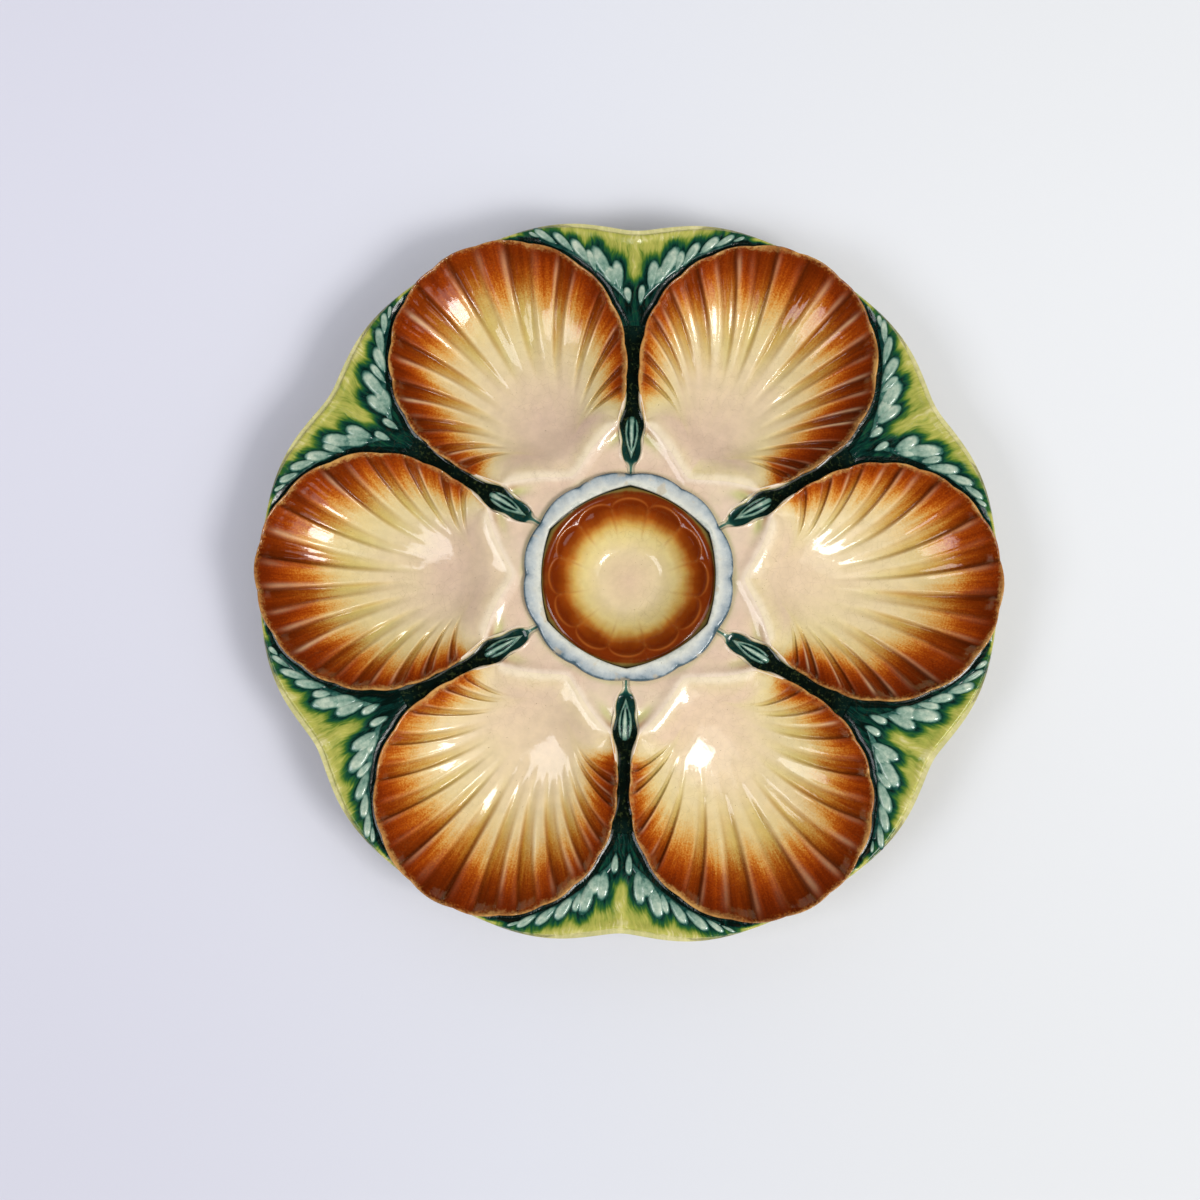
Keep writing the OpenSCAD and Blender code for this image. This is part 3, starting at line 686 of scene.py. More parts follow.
def make_well_rows(mould):
    """Rings of one well about a pole inside it: the ribbed hollow, the rounded lip, the outer wall
    and the back. Depth of the hollow: 14.4 x (1 - rho^p), p from 2.4 at the tip to 2 at the hinge,
    plus the relief of the ribs. Past the hinge corners the lip eases into a plain rounded ridge."""
    bend = (180 - CORNER_A) * np.arange(1, 32) / 32
    psi = np.concatenate([np.linspace(CORNER_A, -CORNER_A, 631), -CORNER_A - bend, [180.0], 180 - bend])
    pole = np.array([CENTRE_R - POLE_BACK, 0.0])
    share = np.concatenate([np.linspace(0.012, 0.58, 40), np.linspace(0.59, 1.0, 66)])
    hollow = pole + share[:, None, None] * (shell_xy(psi, LIP_W) - pole)
    lips = np.stack([shell_xy(psi, inset) for inset, _ in LIP])
    xy = np.concatenate([hollow, lips])
    x, y = xy[..., 0] - CENTRE_R, xy[..., 1]
    far, around = polar(x, -y)
    out = shell_edge(around) - LIP_W
    rho = far / out
    for width, start, end in ((9, 0.98, 0.84), (24, 0.90, 0.55), (50, 0.7, 0.3)):
        eased = np.interp(around, *blurred_edge(width), period=360) - LIP_W
        out = out + (eased - out) * smooth(rho, start, end)
    rho = np.minimum(1, far / out)
    inside = len(hollow)
    w, mouth = reach_of(x[:inside], y[:inside])
    w = np.concatenate([w, np.ones(lips.shape[:2])])
    mouth = np.concatenate([mouth, around[inside:]])
    relief, furrow, crest, pool = rib_relief(w, mouth / HINGE_A, mould)
    ear = smooth(np.abs(mouth), 139, 152)
    fall = WELL_DEPTH * (1 - rho ** (2.4 - 0.4 * (1 - np.cos(np.radians(around))) / 2))
    z = lip_z(np.hypot(xy[..., 0], xy[..., 1])) - LIP_STEP - fall + relief * (1 - ear)
    edge = shell_edge(around) - far
    inwards = np.clip(out + LIP_W - far, 0, None)
    spread_a = 13 * (1 - np.exp(-inwards / 10))
    hinge = smooth(np.abs(around), 146 - 1.1 * spread_a, 150 + 0.9 * spread_a)
    eased_fall = 0.70 * (np.hypot(inwards, 4) - 4)
    z = z + (fall - eased_fall + LIP_STEP + RIDGE_H) * hinge * smooth(inwards, 17, 5)
    crown = np.concatenate([np.zeros(inside), [rise for _, rise in LIP]])[:, None]
    scallop = 0.2 * (np.abs(np.cos(np.pi * rib_phase(mouth / HINGE_A))) - 0.5) * smooth(edge, 2.4, 0.4)
    z = z + (crown + scallop) * (1 - hinge)
    lip = xy[-1]
    top, low = z[-1], under_z(np.hypot(lip[:, 0], lip[:, 1]), THICK_BACK)
    wall = [np.column_stack([lip, top + (low - top) * f]) for f in WALL]
    backs = []
    for f in BACK:
        p = pole + f * (lip - pole)
        lift = 0.25 if f == 1.0 else 0.0
        backs.append(np.column_stack([p, under_z(np.hypot(p[:, 0], p[:, 1]), THICK_BACK) + lift]))
    rows = np.concatenate([np.dstack([xy, z]), wall, backs])
    n, rest = len(psi), len(WALL) + len(BACK)

    def over(values, beyond=0.0):
        """A mark on the hollow and the lip, with its value beyond them."""
        return np.concatenate([values, np.broadcast_to(beyond, (rest, n))]).ravel()

    down = np.concatenate([np.zeros(len(xy)), WALL, np.ones(len(BACK))])
    down[len(xy) - 1] = 0.02
    marks = {
        "reach": over(w, 1.0), "furrow": over(furrow), "crest": over(crest), "line": over(pool),
        "edge": over(edge), "ear": over(ear, smooth(np.abs(psi), 139, 152)),
        "ridge": over(hump(edge, 0.2, 2.8) * hinge), "wall": np.repeat(down, n),
        "gully": np.tile(smooth(np.abs(psi), 24, 34), len(rows)),
        "under": np.repeat(1.0 * (down > 0.6), n),
    }
    poles = [*pole, z[0].mean()], [*pole, under_z(pole[0], THICK_BACK)]
    return rows, poles, marks, over(mouth, psi) / HINGE_A


def make_wells(glaze):
    """Two shells from each mould, each with its own run of the brown and its own streaks."""
    made = [make_well_rows(mould) for mould in range(len(MOULDS))]
    for k in range(SHELLS):
        rows, poles, marks, s = made[k % len(MOULDS)]
        points, faces = rings_form(rows, *poles, PITCH * k)
        own = {name: np.append(v, [v[0], v[-1]]) for name, v in marks.items()}
        own["reach"][-2] = marks["reach"][: rows.shape[1]].mean()
        own["strand"] = np.append(s, [0, 0]) + 3.7 * k
        own["warm"] = np.append(warm_shift(s, k), [0, 0])
        own["rosy"] = np.full(len(points), ROSY[k])
        lay(f"well_{k + 1}", points, faces, own, f"shell_well_{k + 1}", "amber_glaze", glaze)


# Centre: cup, collar and foot

# The bead round the cup: how far out, how high. The ledge: share of the way out to the mouth, height,
# and how much dark glaze pools there
BEAD = [(0.25, 0.16), (0.55, 0.26), (0.9, 0.2), (1.3, 0.04)]
LEDGE = [(0.3, -0.02, 0), (0.55, -0.06, 0), (0.72, -0.1, 0.3), (0.86, -0.08, 0.9), (1.0, 0, 1)]
# Share of the way from mouth to scallops, further out by, and height, round the collar's section
COLLAR = [
    (0.0, 0.0, -2.9), (0.0, 0.0, -1.2), (0.0, 0.04, -0.5), (0.0, 0.2, -0.2), (0.0, 0.5, -0.03),
    (0.15, 0.5, 0.03), (0.3, 0.3, 0.0), (0.5, 0.0, -0.04), (0.7, 0.0, -0.02), (0.85, 0.0, 0.0),
    (1.0, -0.6, -0.1), (1.0, -0.25, -0.32), (1.0, -0.06, -0.7), (1.0, 0.0, -1.3), (1.0, 0.05, -2.0),
    (1.0, 0.0, -2.9),
]
# Radius and height round the foot's section
FOOT = [
    (FOOT_IN, 4.05), (FOOT_IN + 0.02, 2.2), (FOOT_IN + 0.08, 0.9), (FOOT_IN + 0.32, 0.3),
    (FOOT_IN + 0.85, 0.03), (61.3, 0.0), (62.7, 0.0), (FOOT_OUT - 0.85, 0.03),
    (FOOT_OUT - 0.32, 0.3), (FOOT_OUT - 0.08, 0.9), (FOOT_OUT - 0.02, 2.2), (FOOT_OUT, 4.05),
    (62.0, 4.3),
]


def collar_edge(a):
    """Outer radius of the collar: twelve shallow scallops that meet in cusps."""
    return COLLAR_R - 0.9 * (1 - np.abs(np.sin(np.radians(6 * a))))


def mouth_edge(a):
    """Radius of the mouth: six bowed sides that meet in corners between the shells."""
    u = ((a + 390) % PITCH) / (PITCH / 2) - 1
    return MOUTH_R - 1.7 * (1 - u * u)


def ring_at(r, z, a):
    """A ring of points at radius r and height z over the angles a."""
    t = np.radians(a)
    r = np.broadcast_to(r, a.shape)
    return np.stack([r * np.cos(t), r * np.sin(t), np.broadcast_to(z, a.shape)], -1)


def make_cup(glaze):
    """Bowl 12 deep on a smooth step of the share t of its radius, from 0.34 to 1. Twelve scooped
    flutes run up it to an arch each, with a fine raised line round the arch and between them. Then
    come the bead, the ledge that runs in under the collar, and the back of the plate's middle."""
    a = np.arange(360) * 1.0
    scoop = np.abs(np.cos(np.radians(6 * a)))
    arch = 0.845 + 0.115 * np.sqrt(np.clip(1 - (1 - 2 / np.pi * np.arcsin(scoop)) ** 2, 0, 1))
    rows, marks = [], {name: [] for name in ("out", "flute", "rib", "seam", "pool", "under")}

    def put(r, z, out, **own):
        """Adds a ring with its marks, 0 where they aren't given."""
        rows.append(ring_at(r, z, a))
        for name, store in marks.items():
            store.append(np.broadcast_to({"out": out, **own}.get(name, 0.0), a.shape))

    for t in np.concatenate([np.linspace(0.04, 0.36, 9), np.linspace(0.39, 1.0, 60)]):
        d = smooth(t, 0.45, 0.86) * smooth(t, arch + 0.022, arch - 0.05)
        arc = hump(t, arch + 0.016, 0.013)
        z = LEDGE_H - CUP_DEPTH * (1 - smooth(t, 0.34, 1.0)) - FLUTE_D * d * (0.35 + 0.65 * scoop)
        seam = hump(scoop, 0, 0.15) * smooth(t, 0.44, 0.80) * smooth(t, 0.92, 0.84)
        put(CUP_R * t, z + 0.10 * d * hump(scoop, 0, 0.10) + 0.10 * arc, 0.88 * t,
            flute=d * scoop, rib=0.8 * arc * (0.4 + 0.6 * scoop), seam=seam)
    for dr, dz in BEAD:
        put(CUP_R + dr, LEDGE_H + dz, 0.88 + 0.01 * dr)
    mouth = mouth_edge(a)
    for share, dz, p in LEDGE:
        r = CUP_R + 1.3 + (mouth - CUP_R - 1.3) * share
        out = 0.895 + 0.05 * smooth(share, 0.1, 0.5) + 0.03 * smooth(r, 28.3, 29.4)
        put(r, LEDGE_H + dz, out, pool=p)
    outer = collar_edge(a) - TUCK
    put(mouth + TUCK, LEDGE_H, 1.0, pool=1)
    put(outer, LEDGE_H, 1.0, pool=1)
    low = under_z(outer, THICK_BACK) + 0.04
    for f in (0.3, 0.7, 1.0):
        put(outer, LEDGE_H + (low - LEDGE_H) * f, 1.0, under=1)
    for share in (0.985, 0.93, 0.86, 0.78, 0.7, 0.62, 0.54, 0.46, 0.38, 0.25, 0.1):
        put(outer * share, under_z(outer * share, THICK_BACK) + 0.04, 1.0, under=1)
    points, faces = rings_form(np.stack(rows), [0, 0, LEDGE_H - CUP_DEPTH], [0, 0, FOOT_H + 0.04])
    marks["around"] = [a / 360] * len(rows)
    poles = {"out": (0, 1), "under": (0, 1)}
    marks = {name: np.append(np.ravel(v), poles.get(name, (0, 0))) for name, v in marks.items()}
    lay("cup", points, faces, marks, "centre_cup", "amber_glaze", glaze)


def make_collar(glaze):
    """Band between the mouth and the scallops, its top softly waved, its edges rounded and a dip
    at each cusp."""
    a = np.arange(480) * 0.75
    inner, outer = mouth_edge(a), collar_edge(a)
    wave = 0.10 * np.cos(np.radians(5 * a + 40)) + 0.07 * np.cos(np.radians(11 * a))
    cusp = hump(np.abs(np.sin(np.radians(6 * a))), 0, 0.22)
    rows, across, pool = [], [], []
    for share, shift, dz in COLLAR:
        lift = (wave - 0.30 * cusp * smooth(share, 0.2, 1.0)) * (dz > -1.0)
        rows.append(ring_at(inner + (outer - inner) * share + shift, COLLAR_H + dz + lift, a))
        base = 0.12 + 0.76 * share + 0.12 * (share == 1.0 and dz < -0.2)
        across.append(base + 0.25 * cusp * smooth(share, 0.3, 1.0))
        deep = dz < -1.9 or (share == 0.0 and dz < -0.9)
        pool.append(np.full(a.shape, 1.0 if deep else 0.45 * (share == 0.0 and dz < -0.4)))
    marks = {"across": np.ravel(across), "pool": np.ravel(pool)}
    lay("collar", *loop_form(np.stack(rows)), marks, "cup_collar", "pale_blue_glaze", glaze)


def make_foot(glaze):
    """Standing ring with rounded, slightly worn lower edges."""
    a = np.arange(300) * 1.2
    rows = np.stack([ring_at(r, z, a) for r, z in FOOT])
    stand = np.repeat([smooth(z, 1.2, 0.1) for _, z in FOOT], len(a))
    lay("foot", *loop_form(rows), {"stand": stand}, "foot_ring", "bare_body", glaze)


# Between the shells: hinges, channels, buds, ground and leaves

# One sprig's lobes on its right side: radius along the channel's axis, distance aside, length,
# width, lean; and the line of its stem, as radius and distance aside
LOBES = [
    (94.6, 2.2, 6.8, 3.3, 4), (101.3, 5.6, 11.4, 5.2, 6), (105.0, 10.5, 14.0, 6.0, 24),
    (101.0, 8.3, 8.6, 6.0, 26), (106.4, 14.4, 8.0, 3.6, 20), (108.8, 18.6, 10.8, 4.6, 37),
    (111.9, 24.4, 10.6, 4.0, 50), (113.6, 30.2, 9.0, 3.1, 60), (114.1, 34.6, 5.0, 1.9, 68),
]
STEM = [(92.2, 2.2), (95.8, 4.2), (99.3, 7.4), (102.6, 11.3), (105.6, 15.4), (108.1, 19.5),
        (110.2, 24.0), (111.9, 28.9), (113.1, 32.6)]


def bed_half(x):
    """Half width of a bud's bed along its axis, eased through the bed's named places."""
    t = np.clip((x - BED_START) / BED_L, 0, 1)
    spread = sum(np.interp(np.clip(t + d, 0, 1), BED_AT, BED_HALF) for d in (-0.03, 0, 0.03)) / 3
    return BED_W * spread


def make_hinges(glaze):
    """Ears round each shell's point: rays fanned between the two beds, from the collar out to the
    shell, whose distance is found by halving. They lie 0.7 below the lips and rise to them at the
    shell, with a scoop and a thin crescent in each ear and a rounded bank, 2 high, at the beds."""
    u = np.linspace(-1, 1, 150)
    u = np.sign(u) * np.abs(u) ** 0.85

    def ray(r, u):
        """Point at radius r on a ray: 0 is the middle one, 1 and -1 run along the beds."""
        bed = np.degrees(np.arcsin(np.clip(bed_half(r) / r, 0, 0.5)))
        a = np.radians(u * (PITCH / 2 - bed))
        return r * np.cos(a), r * np.sin(a)

    low, high = np.full(len(u), 34.0), np.full(len(u), 66.0)
    for _ in range(HALVINGS):
        r = (low + high) / 2
        outside = beside_shell(*ray(r, u), 0) > -TUCK
        low, high = np.where(outside, r, low), np.where(outside, high, r)
    end = np.minimum(r, BED_START + BED_L)
    r = HINGE_IN + np.linspace(0, 1, 64)[:, None] * (end - HINGE_IN)
    x, y = ray(r, u)
    radius, to_shell = np.hypot(x, y), beside_shell(x, y, 0)
    aside = np.radians(30 * np.sign(u))
    ax = x * np.cos(aside) + y * np.sin(aside)
    ay = np.abs(-x * np.sin(aside) + y * np.cos(aside))
    to_bed = ay - bed_half(ax)
    along = (56.2 - ax) * 0.867 + (ay - 6.1) * 0.498
    scoop = hump(to_shell, 3.6, 2.0) * hump(along, 8.0, 5.6)
    crescent = hump(to_shell, 2.0, 0.9) * smooth(radius, 42.5, 50)
    bank = hump(to_bed, 0.7, 0.5) * smooth(radius, 37, 40)
    rise = smooth(to_shell, 4.6, 0.0) * (1 - smooth(to_bed, 1.2, 0.2))
    z = lip_z(radius) - HINGE_DROP + (HINGE_DROP + RIDGE_H) * rise - 0.5 * np.clip(-to_shell, 0, 1)
    z = z - 0.8 * scoop - 0.15 * crescent + 0.22 * bank
    z = z - 2.0 * rounding(np.clip(1 - to_bed / 0.8, 0, 1))
    pool = 0.52 * scoop + 0.95 * smooth(to_bed, 0.4, -0.1) + 0.26 * smooth(radius, 37.0, 35.4) + 0.06
    ridge = 0.8 * bank + hump(to_shell, -0.2, 2.8) * rise
    # Besides its shallow groove, the crescent carries a painted shadow line in the glaze.
    marks = {"pool": (pool, 0.1), "ridge": (ridge, 0.0), "burn": (crescent * hump(along, 4.5, 5.0), 0.0)}
    lay_slabs("hinge", x, y, z, under_z(radius, THICK_BACK) + 0.09, marks, "shell_hinge",
              "cream_glaze", glaze)


def make_channels(glaze):
    """Dark bed and gully between two shells: floor 2.6 below the lips, dished across by |v|^3,
    raised at its inner end to meet the collar, its edges run in under the hinges and shells."""
    x, y = np.linspace(CHANNEL_IN, CHANNEL_END + 0.5, 150), np.linspace(0, 12, 400)
    within = beside_shell(x[:, None], y, 1) < 0
    gap = np.where(within.any(1), y[within.argmax(1)], 12.0) + TUCK
    half = np.where(x < BED_START + BED_L, np.minimum(bed_half(x) + 0.5, gap), gap)
    half = np.convolve(np.pad(half, 2, "edge"), np.ones(5) / 5, "valid")
    v = np.linspace(-1, 1, 34)
    x, y = np.repeat(x[:, None], len(v), 1), half[:, None] * v
    radius = np.hypot(x, y)
    dish = np.abs(v) ** 3
    z = lip_z(radius) - CHANNEL_DROP + 0.55 * dish - 0.2 * smooth(x, 56, 62) + 0.25 * smooth(x, 79, 85)
    z = z + 1.4 * smooth(x, 40.0, 36.2)
    ends = smooth(x, 40.0, 36.8) * (0.40 + 0.75 * smooth(np.abs(v), 0.2, 0.75))
    thin = 0.05 + 0.24 * dish * smooth(x, 58, 50) + ends + 0.34 * smooth(x, 53, 45)
    marks = {"thin": (thin + 0.22 * smooth(x, 78, 85), 0.0), "under": (0.0, 1.0)}
    lay_slabs("channel", x, y, z, under_z(radius, THIN_BACK) + 0.16, marks, "stem_channel",
              "dark_green_glaze", glaze, start=0.5)


def make_buds(glaze):
    """Pod pointed towards the cup and blunt at its other end: height x (1 - q^3)^0.6, q the share
    of the way out to its edge. A thin U-shaped groove splits it, and the core inside the groove
    leans a little to one side."""
    a = np.radians(np.arange(96) * 3.75)
    along, across = np.cos(a), np.sin(a)
    outline = across * (0.80 + 0.28 * along) * smooth(along, -1.4, 0.0) ** 0.5
    middle = BUD_START + BUD_L / 2
    floor = lip_z(middle) - CHANNEL_DROP
    for k in range(SHELLS):
        rows, crown = [], []
        lean = 0.10 * math.sin(2.4 * k + 1)
        for q in (0.06, 0.14, 0.22, 0.3, 0.38, 0.46, 0.54, 0.62, 0.7, 0.78, 0.85, 0.91, 0.96, 1.0):
            t = q * along
            x, y = middle + BUD_L / 2 * t, BUD_W / 2 * 1.25 * q * outline
            open_by = np.sqrt(np.clip((t + 0.62) / 0.8, 0, 1))
            groove = hump(y - lean - 1.08 * open_by * np.sign(y - lean), 0, 0.32)
            groove = groove * smooth(t, -0.72, -0.35) * (0.8 + 0.2 * math.sin(9 * q + 2 * k))
            rise = BUD_H * (1 - q**3) ** 0.6 * (0.75 + 0.25 * smooth(t, 1.0, 0.2))
            z = lip_z(np.hypot(x, y)) - CHANNEL_DROP + rise - 0.75 * groove * (q < 0.99) + 0.1
            rows.append(np.stack([x, y, z], -1))
            core = hump(y, lean, 0.6) * smooth(t, -0.8, -0.3) * smooth(t, 0.9, 0.4)
            crown.append(np.clip(0.30 + 0.34 * hump(q, 0.80, 0.16) + 0.56 * core - 0.7 * groove, 0, 1))
        skirt = rows[-1] - [0, 0, 0.9]
        poles = [middle, 0, floor + BUD_H + 0.1], [middle, 0, floor - 0.8]
        points, faces = rings_form(np.stack([*rows, skirt]), *poles, PITCH * (k + 0.5))
        marks = {"crown": np.concatenate([*crown, np.zeros(len(a)), [0.9, 0.0]])}
        lay(f"pod_{k + 1}", points, faces, marks, f"bud_{k + 1}", "leaf_glaze", glaze)


def rim_edge(a):
    """Rim between two shells over the angle from the notch: in at the notch, a swell on each side,
    then out to the tails."""
    share = np.clip((np.sqrt(a * a + 4) - 2) / 24, 0, 1)
    return 115.2 + 6.8 * np.sin(np.pi / 2 * share) + 0.9 * np.sin(np.pi * share) ** 2


def lobe_share(x, y, lobe, side):
    """1 on a lobe's outline, less inside and more outside: a round-ended drop."""
    lx, ly, l, w, lean = lobe
    a = math.radians(lean) * side
    dx, dy = x - lx, y - side * ly
    p = dx * math.cos(a) + dy * math.sin(a)
    q = -dx * math.sin(a) + dy * math.cos(a)
    t = p / (l / 2)
    half = w / 2 * (0.80 + 0.26 * np.clip(t, -1, 1))
    return np.sqrt(t**2 + (q / half) ** 2)


def make_ground(glaze):
    """Panel between two shells and the rim, blended from its four border curves: floor 1.8 below the
    lips, a gully along each shell, a swelling along its middle, and a rounded rim."""
    psi = np.linspace(3, 102, 2400)
    side_xy = turned(shell_xy(psi, TUCK), 30)
    radius, angle = polar(*side_xy.T)
    beyond = np.where(radius < rim_edge(angle))[0][0]
    inner = np.where(side_xy[:, 0] > CHANNEL_END - 0.5)[0][-1]
    flank = side_xy[beyond : inner + 1][::-1]
    run = np.concatenate([[0], np.cumsum(np.hypot(*np.diff(flank, axis=0).T))])
    v = np.linspace(0, 1, 84) ** 0.9
    v = np.where(v > 0.9, 0.9 + 0.1 * np.sin((v - 0.9) / 0.1 * np.pi / 2), v)
    left = np.column_stack([np.interp(v, run / run[-1], flank[:, c]) for c in (0, 1)])
    right = left * [1, -1]
    u = np.linspace(-1, 1, 160)
    tail_r, tail_a = polar(*flank[-1])
    top_r = rim_edge(u * tail_a)
    top_r = top_r * (1 + (tail_r / top_r[-1] - 1) * np.abs(u) ** 6)
    outer = ring_at(top_r, 0, u * tail_a)[:, :2]
    base = np.column_stack([np.full(len(u), flank[0, 0]), u * flank[0, 1]])
    s, t = 0.5 * (u + 1)[None, :, None], v[:, None, None]
    xy = (1 - t) * base + t * outer + (1 - s) * right[:, None] + s * left[:, None]
    xy = xy - (1 - t) * ((1 - s) * right[0] + s * left[0]) - t * ((1 - s) * right[-1] + s * left[-1])
    x, y = xy[..., 0], xy[..., 1]
    r, ang = polar(x, y)
    to_rim = rim_edge(ang) - r
    to_shell = np.minimum(beside_shell(x, y, 1), beside_shell(x, y, -1))
    leaf = [(lobe_share(x, y, lobe, side) - 1) * lobe[3] * 0.5 for lobe in LOBES for side in (-1, 1)]
    leaf = np.min(leaf, axis=0)
    z = lip_z(r) - GROUND_DROP
    z = z - 0.35 * hump(to_shell, 0.9, 0.9) + 0.30 * hump(y, 0, 2.0) * smooth(x, 92, 100)
    z = z + 0.45 * smooth(to_rim, 3.4, 0.9) + 0.30 * smooth(leaf, 2.6, 6.0)
    z = z - 1.1 * rounding(np.clip(1 - to_rim, 0, 1))
    height = 0.10 + 0.64 * smooth(x, 86, 108) + 0.10 * hump(y, 0, 1.3) * smooth(x, 96, 104)
    height = height - 0.12 * hump(np.abs(y), 2.6, 1.0) * smooth(x, 94, 100) * smooth(x, 114, 108)
    height = height * (1 - 0.80 * smooth(leaf, 2.4, -0.3))
    height = height - 0.75 * smooth(to_shell, 2.6, 1.0) * smooth(to_rim, 0.3, 1.6)
    height = np.clip(height + 0.10 * smooth(to_rim, 3.6, 1.4), 0, 1)
    along, side = (x - CHANNEL_END) / 30, ang / 24
    marks = {"height": (height, 0.9), "edge": (to_rim, 0.0), "along": (along, along),
             "side": (side, side), "under": (0.0, 1.0)}
    lay_slabs("ground", x, y, z, under_z(r, THIN_BACK) + 0.12, marks, "ground_panel",
              "green_glaze", glaze, start=0.5, strands=5.3)


def lobe_form(lobe, side, shift, sprig):
    """Low lobe on a round-ended drop: height x (1 - q^3)^0.7, with a shallow vein down its middle.
    Its crown is pale inside the outline of the whole sprig, so lobes that overlap run together."""
    lx, ly, l, w, lean = lobe
    a = np.radians(np.arange(44) * (360 / 44))
    c, s = np.cos(a), np.sin(a)
    half = w / 2 * (0.80 + 0.26 * c)
    turn = math.radians(lean) * side
    tall = LEAF_H * (0.66 + 0.34 * min(1, w / 4.0)) + shift
    rows, crown = [], []
    for q in (0.1, 0.28, 0.45, 0.6, 0.72, 0.82, 0.9, 0.96, 1.0, 1.03):
        p, o = l / 2 * q * c, half * q * s * side
        x = lx + p * math.cos(turn) - o * math.sin(turn)
        y = side * ly + p * math.sin(turn) + o * math.cos(turn)
        rise = tall * max(0.0, 1 - q**3) ** 0.7 - 0.16 * hump(q * s, 0, 0.16) * (1 - q)
        z = lip_z(np.hypot(x, y)) - GROUND_DROP + rise - (0.7 if q > 1 else 0.05) + 0.12 * (p / l)
        rows.append(np.stack([x, y, z], -1))
        inside = np.min([lobe_share(x, y, other, side) for other in sprig], axis=0)
        pale = (1 - 0.8 * smooth(inside, 0.62, 1.0)) * (0.74 + 0.26 * c * q)
        crown.append(np.clip(pale - 0.08 * hump(q * s, 0, 0.14) * (1 - q), 0, 1))
    rows, crown = np.stack(rows), np.stack(crown)
    if side < 0:
        rows, crown = rows[:, ::-1], crown[:, ::-1]
    floor = lip_z(math.hypot(lx, ly)) - GROUND_DROP
    form = rings_form(rows, [lx, side * ly, floor + tall - 0.16], [lx, side * ly, floor - 0.7])
    return *form, np.append(crown, [0.8, 0.0])


def stem_form(side):
    """Low stem that the lobes spring from: an oval tube along an eased line beside the shell,
    thinner towards its end."""
    line = np.array(STEM) * [1, side]
    at = np.linspace(0, 1, 70)
    path = np.column_stack([np.interp(at * (len(line) - 1), np.arange(len(line)), c) for c in line.T])
    for _ in range(6):
        path[1:-1] = (path[:-2] + 2 * path[1:-1] + path[2:]) / 4
    run = np.gradient(path, axis=0)
    run /= np.hypot(run[:, 0], run[:, 1])[:, None]
    thick = (1.5 * (1 - 0.6 * at) * smooth(at, -0.05, 0.25))[:, None]
    thick[[0, -1]] = 0.12
    a = np.radians(np.arange(16) * 22.5)
    across = np.stack([-run[:, 1], run[:, 0]], -1)
    xy = path[:, None] + across[:, None] * (thick * np.cos(a))[..., None]
    z = lip_z(np.hypot(xy[..., 0], xy[..., 1])) - GROUND_DROP + 0.05 + thick * np.sin(a) * 0.45
    rows = np.dstack([xy, z])
    form = rings_form(rows[:, ::-1], rows[0].mean(0), rows[-1].mean(0))
    fade = smooth(at, 0.9, 0.2)[:, None]
    crown = 0.12 + (0.06 + 0.16 * fade) * np.clip(np.sin(a), 0, 1)[::-1]
    return *form, np.append(crown, [0.3, 0.3])


def make_leaves(glaze):
    """Sprigs: a left and a right one in each panel, nine lobes on a stem, with small differences
    in place, size, lean and height from one sprig to the next."""
    rng = np.random.default_rng(41)
    for k in range(SHELLS):
        for side, word in ((1, "left"), (-1, "right")):
            sprig, shifts = [], []
            for lobe in LOBES:
                sprig.append(tuple(np.array(lobe) + rng.uniform(-1, 1, 5) * [0.5, 0.4, 1.1, 0.45, 6.0]))
                shifts.append(rng.uniform(-0.12, 0.08))
            forms = [lobe_form(lobe, side, shift, sprig) for lobe, shift in zip(sprig, shifts)]
            points, faces, crowns, start = [], [], [], 0
            for form_points, form_faces, crown in [stem_form(side), *forms]:
                points.append(turned(form_points, PITCH * (k + 0.5)))
                faces += [f + start for f in form_faces]
                crowns.append(crown)
                start += len(crown)
            marks = {"crown": np.concatenate(crowns)}
            lay(f"sprig_{word}_{k + 1}", np.concatenate(points), faces, marks,
                f"leaf_{word}_{k + 1}", "leaf_glaze", glaze, crease=70)


make_wells(amber_glaze())
make_cup(cup_glaze())
make_collar(pale_blue_glaze())
make_foot(bare_body())
make_hinges(cream_glaze())
make_channels(dark_green_glaze())
leaf = leaf_glaze()
make_buds(leaf)
make_ground(green_glaze())
make_leaves(leaf)


# Table, light and camera, in metres

TABLE_HALF = 3.0
LIT_POINT = (0, 0, 0.02)
SEEN_POINT = (0, 0, 0.0245)
EYE_AWAY = 0.75
EYE_TURNS = [(1.2, "Z"), (6.5, "X"), (0.7, "Y")]
LENS = 68.175
ROOM_LIGHT = 0.36
DAYLIGHT = (1.0, 0.985, 0.955)
# Each lamp's name, place, side, power, colour, and whether the glazes show it
LAMPS = [
    ("key", (0.94, -0.60, 1.42), 1.2, 7.0, DAYLIGHT, True),
    ("spark", (0.91, -0.58, 1.375), 0.47, 13.0, DAYLIGHT, True),
    ("low", (1.42, -0.99, 1.02), 2.2, 7.0, DAYLIGHT, False),
    ("fill", (-1.0, -0.46, 1.42), 0.75, 9.4, (0.94, 0.95, 1.0), True),
    ("back", (-0.3, 1.9, 1.1), 3.0, 9.5, (0.97, 0.98, 1.0), False),
]


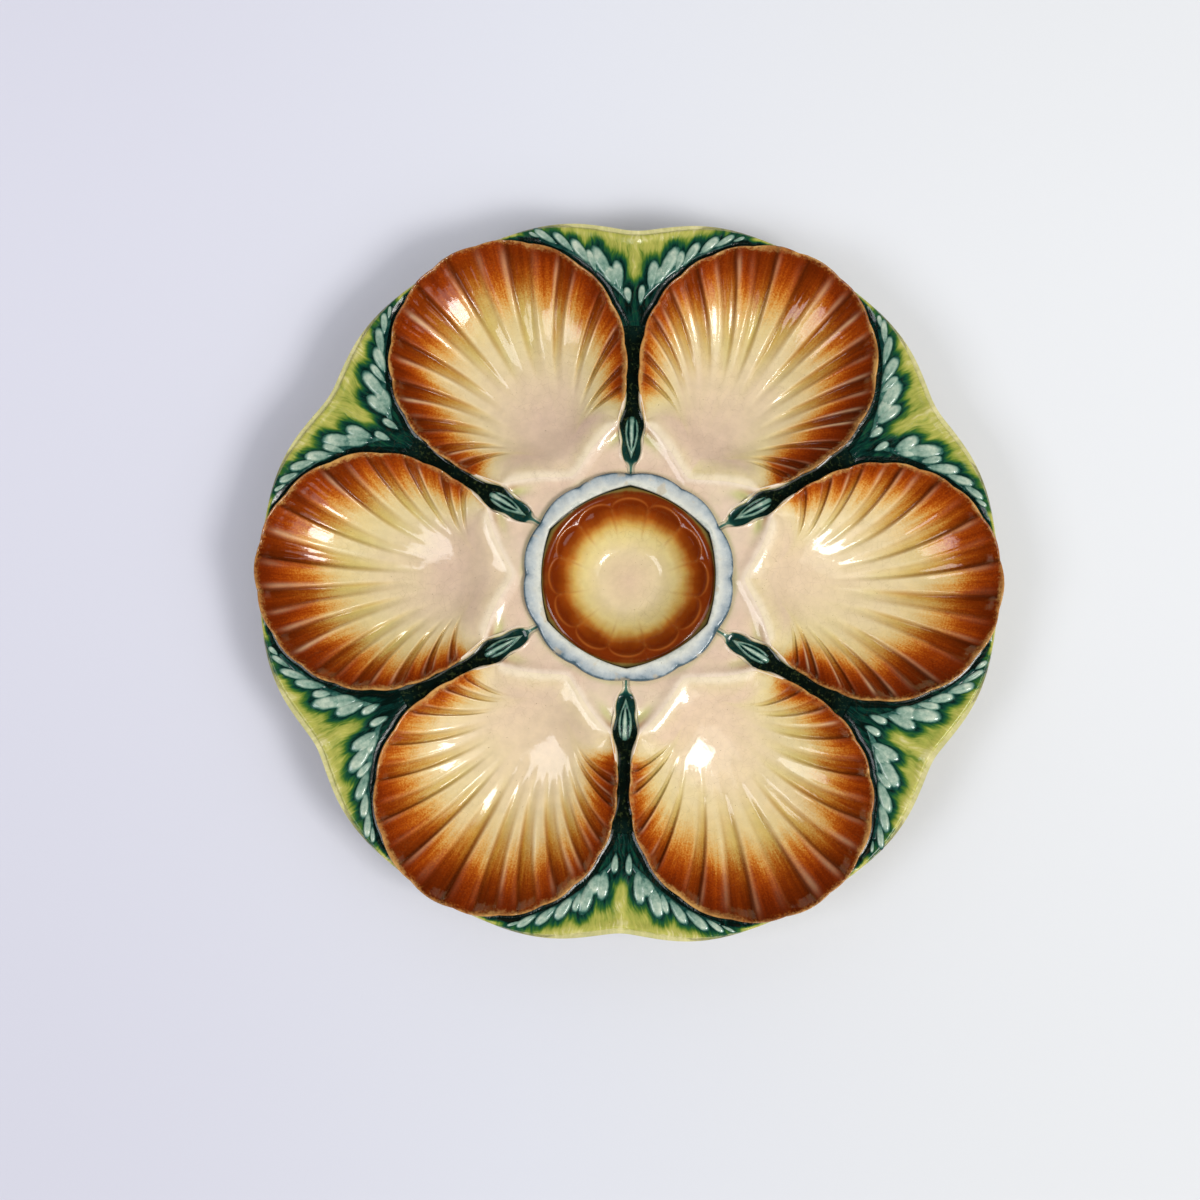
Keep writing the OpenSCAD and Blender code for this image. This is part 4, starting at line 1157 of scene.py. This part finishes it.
def lay_table():
    """Pale table, lavender on the left and nearly white on the right; painted shade makes it darker on
    the left and a little darker in front.
    """
    mesh = bpy.data.meshes.new("table")
    corners = [(TABLE_HALF * x, TABLE_HALF * y, 0) for x, y in ((-1, -1), (1, -1), (1, 1), (-1, 1))]
    mesh.from_pydata(corners, [], [(0, 1, 2, 3)])
    mesh.update()
    g = Glaze("table")
    x, y = [g.through("SeparateXYZ", (g.place,), axis) for axis in "XY"]
    # Painted shade: the ramp darkens the left side, and the next line darkens the front.
    colour = g.ramp(
        g.span(x, -0.22, 0.16), (0.0, 220, 220, 233), (0.5, 225, 227, 236), (1.0, 229, 231, 234))
    colour = g.shade(colour, g.span(y, -0.24, 0.16, 0.84, 0.965))
    g.feed(g.shader, {"Base Color": colour, "Roughness": 0.65, "Specular IOR Level": 0.3})
    mesh.materials.append(g.material)
    put_in_scene("table", mesh)


def hang_lamp(name, place, size, power, colour, glossy):
    """Square soft lamp that faces the plate."""
    lamp = bpy.data.lights.new(name, "AREA")
    lamp.shape = "SQUARE"
    lamp.size = size
    lamp.energy = power
    lamp.color = colour
    hung = put_in_scene(name, lamp)
    hung.location = place
    hung.rotation_euler = (Vector(place) - Vector(LIT_POINT)).to_track_quat("Z", "Y").to_euler()
    hung.visible_glossy = glossy


def light_room():
    """Even pale world, which the glazes don't show either."""
    world = bpy.data.worlds.new("room")
    world.use_nodes = True
    room = next(n for n in world.node_tree.nodes if n.type == "BACKGROUND")
    room.inputs["Color"].default_value = (0.97, 0.98, 1.0, 1.0)
    room.inputs["Strength"].default_value = ROOM_LIGHT
    bpy.context.scene.world = world
    world.cycles_visibility.glossy = False


def set_camera():
    """Camera 750 mm above the plate, leaning a little to the front and right, on a 68 mm lens."""
    lens = bpy.data.cameras.new("camera")
    lens.lens = LENS
    lens.sensor_width = 36.0
    lens.shift_x = -0.02358
    lens.shift_y = -0.02
    eye = put_in_scene("camera", lens)
    at = Matrix.Translation(SEEN_POINT)
    for degrees, axis in EYE_TURNS:
        at = at @ Matrix.Rotation(math.radians(degrees), 4, axis)
    eye.matrix_world = at @ Matrix.Translation((0, 0, EYE_AWAY))
    bpy.context.scene.camera = eye


lay_table()
for lamp in LAMPS:
    hang_lamp(*lamp)
light_room()
set_camera()
bpy.context.scene.view_settings.view_transform = "Standard"
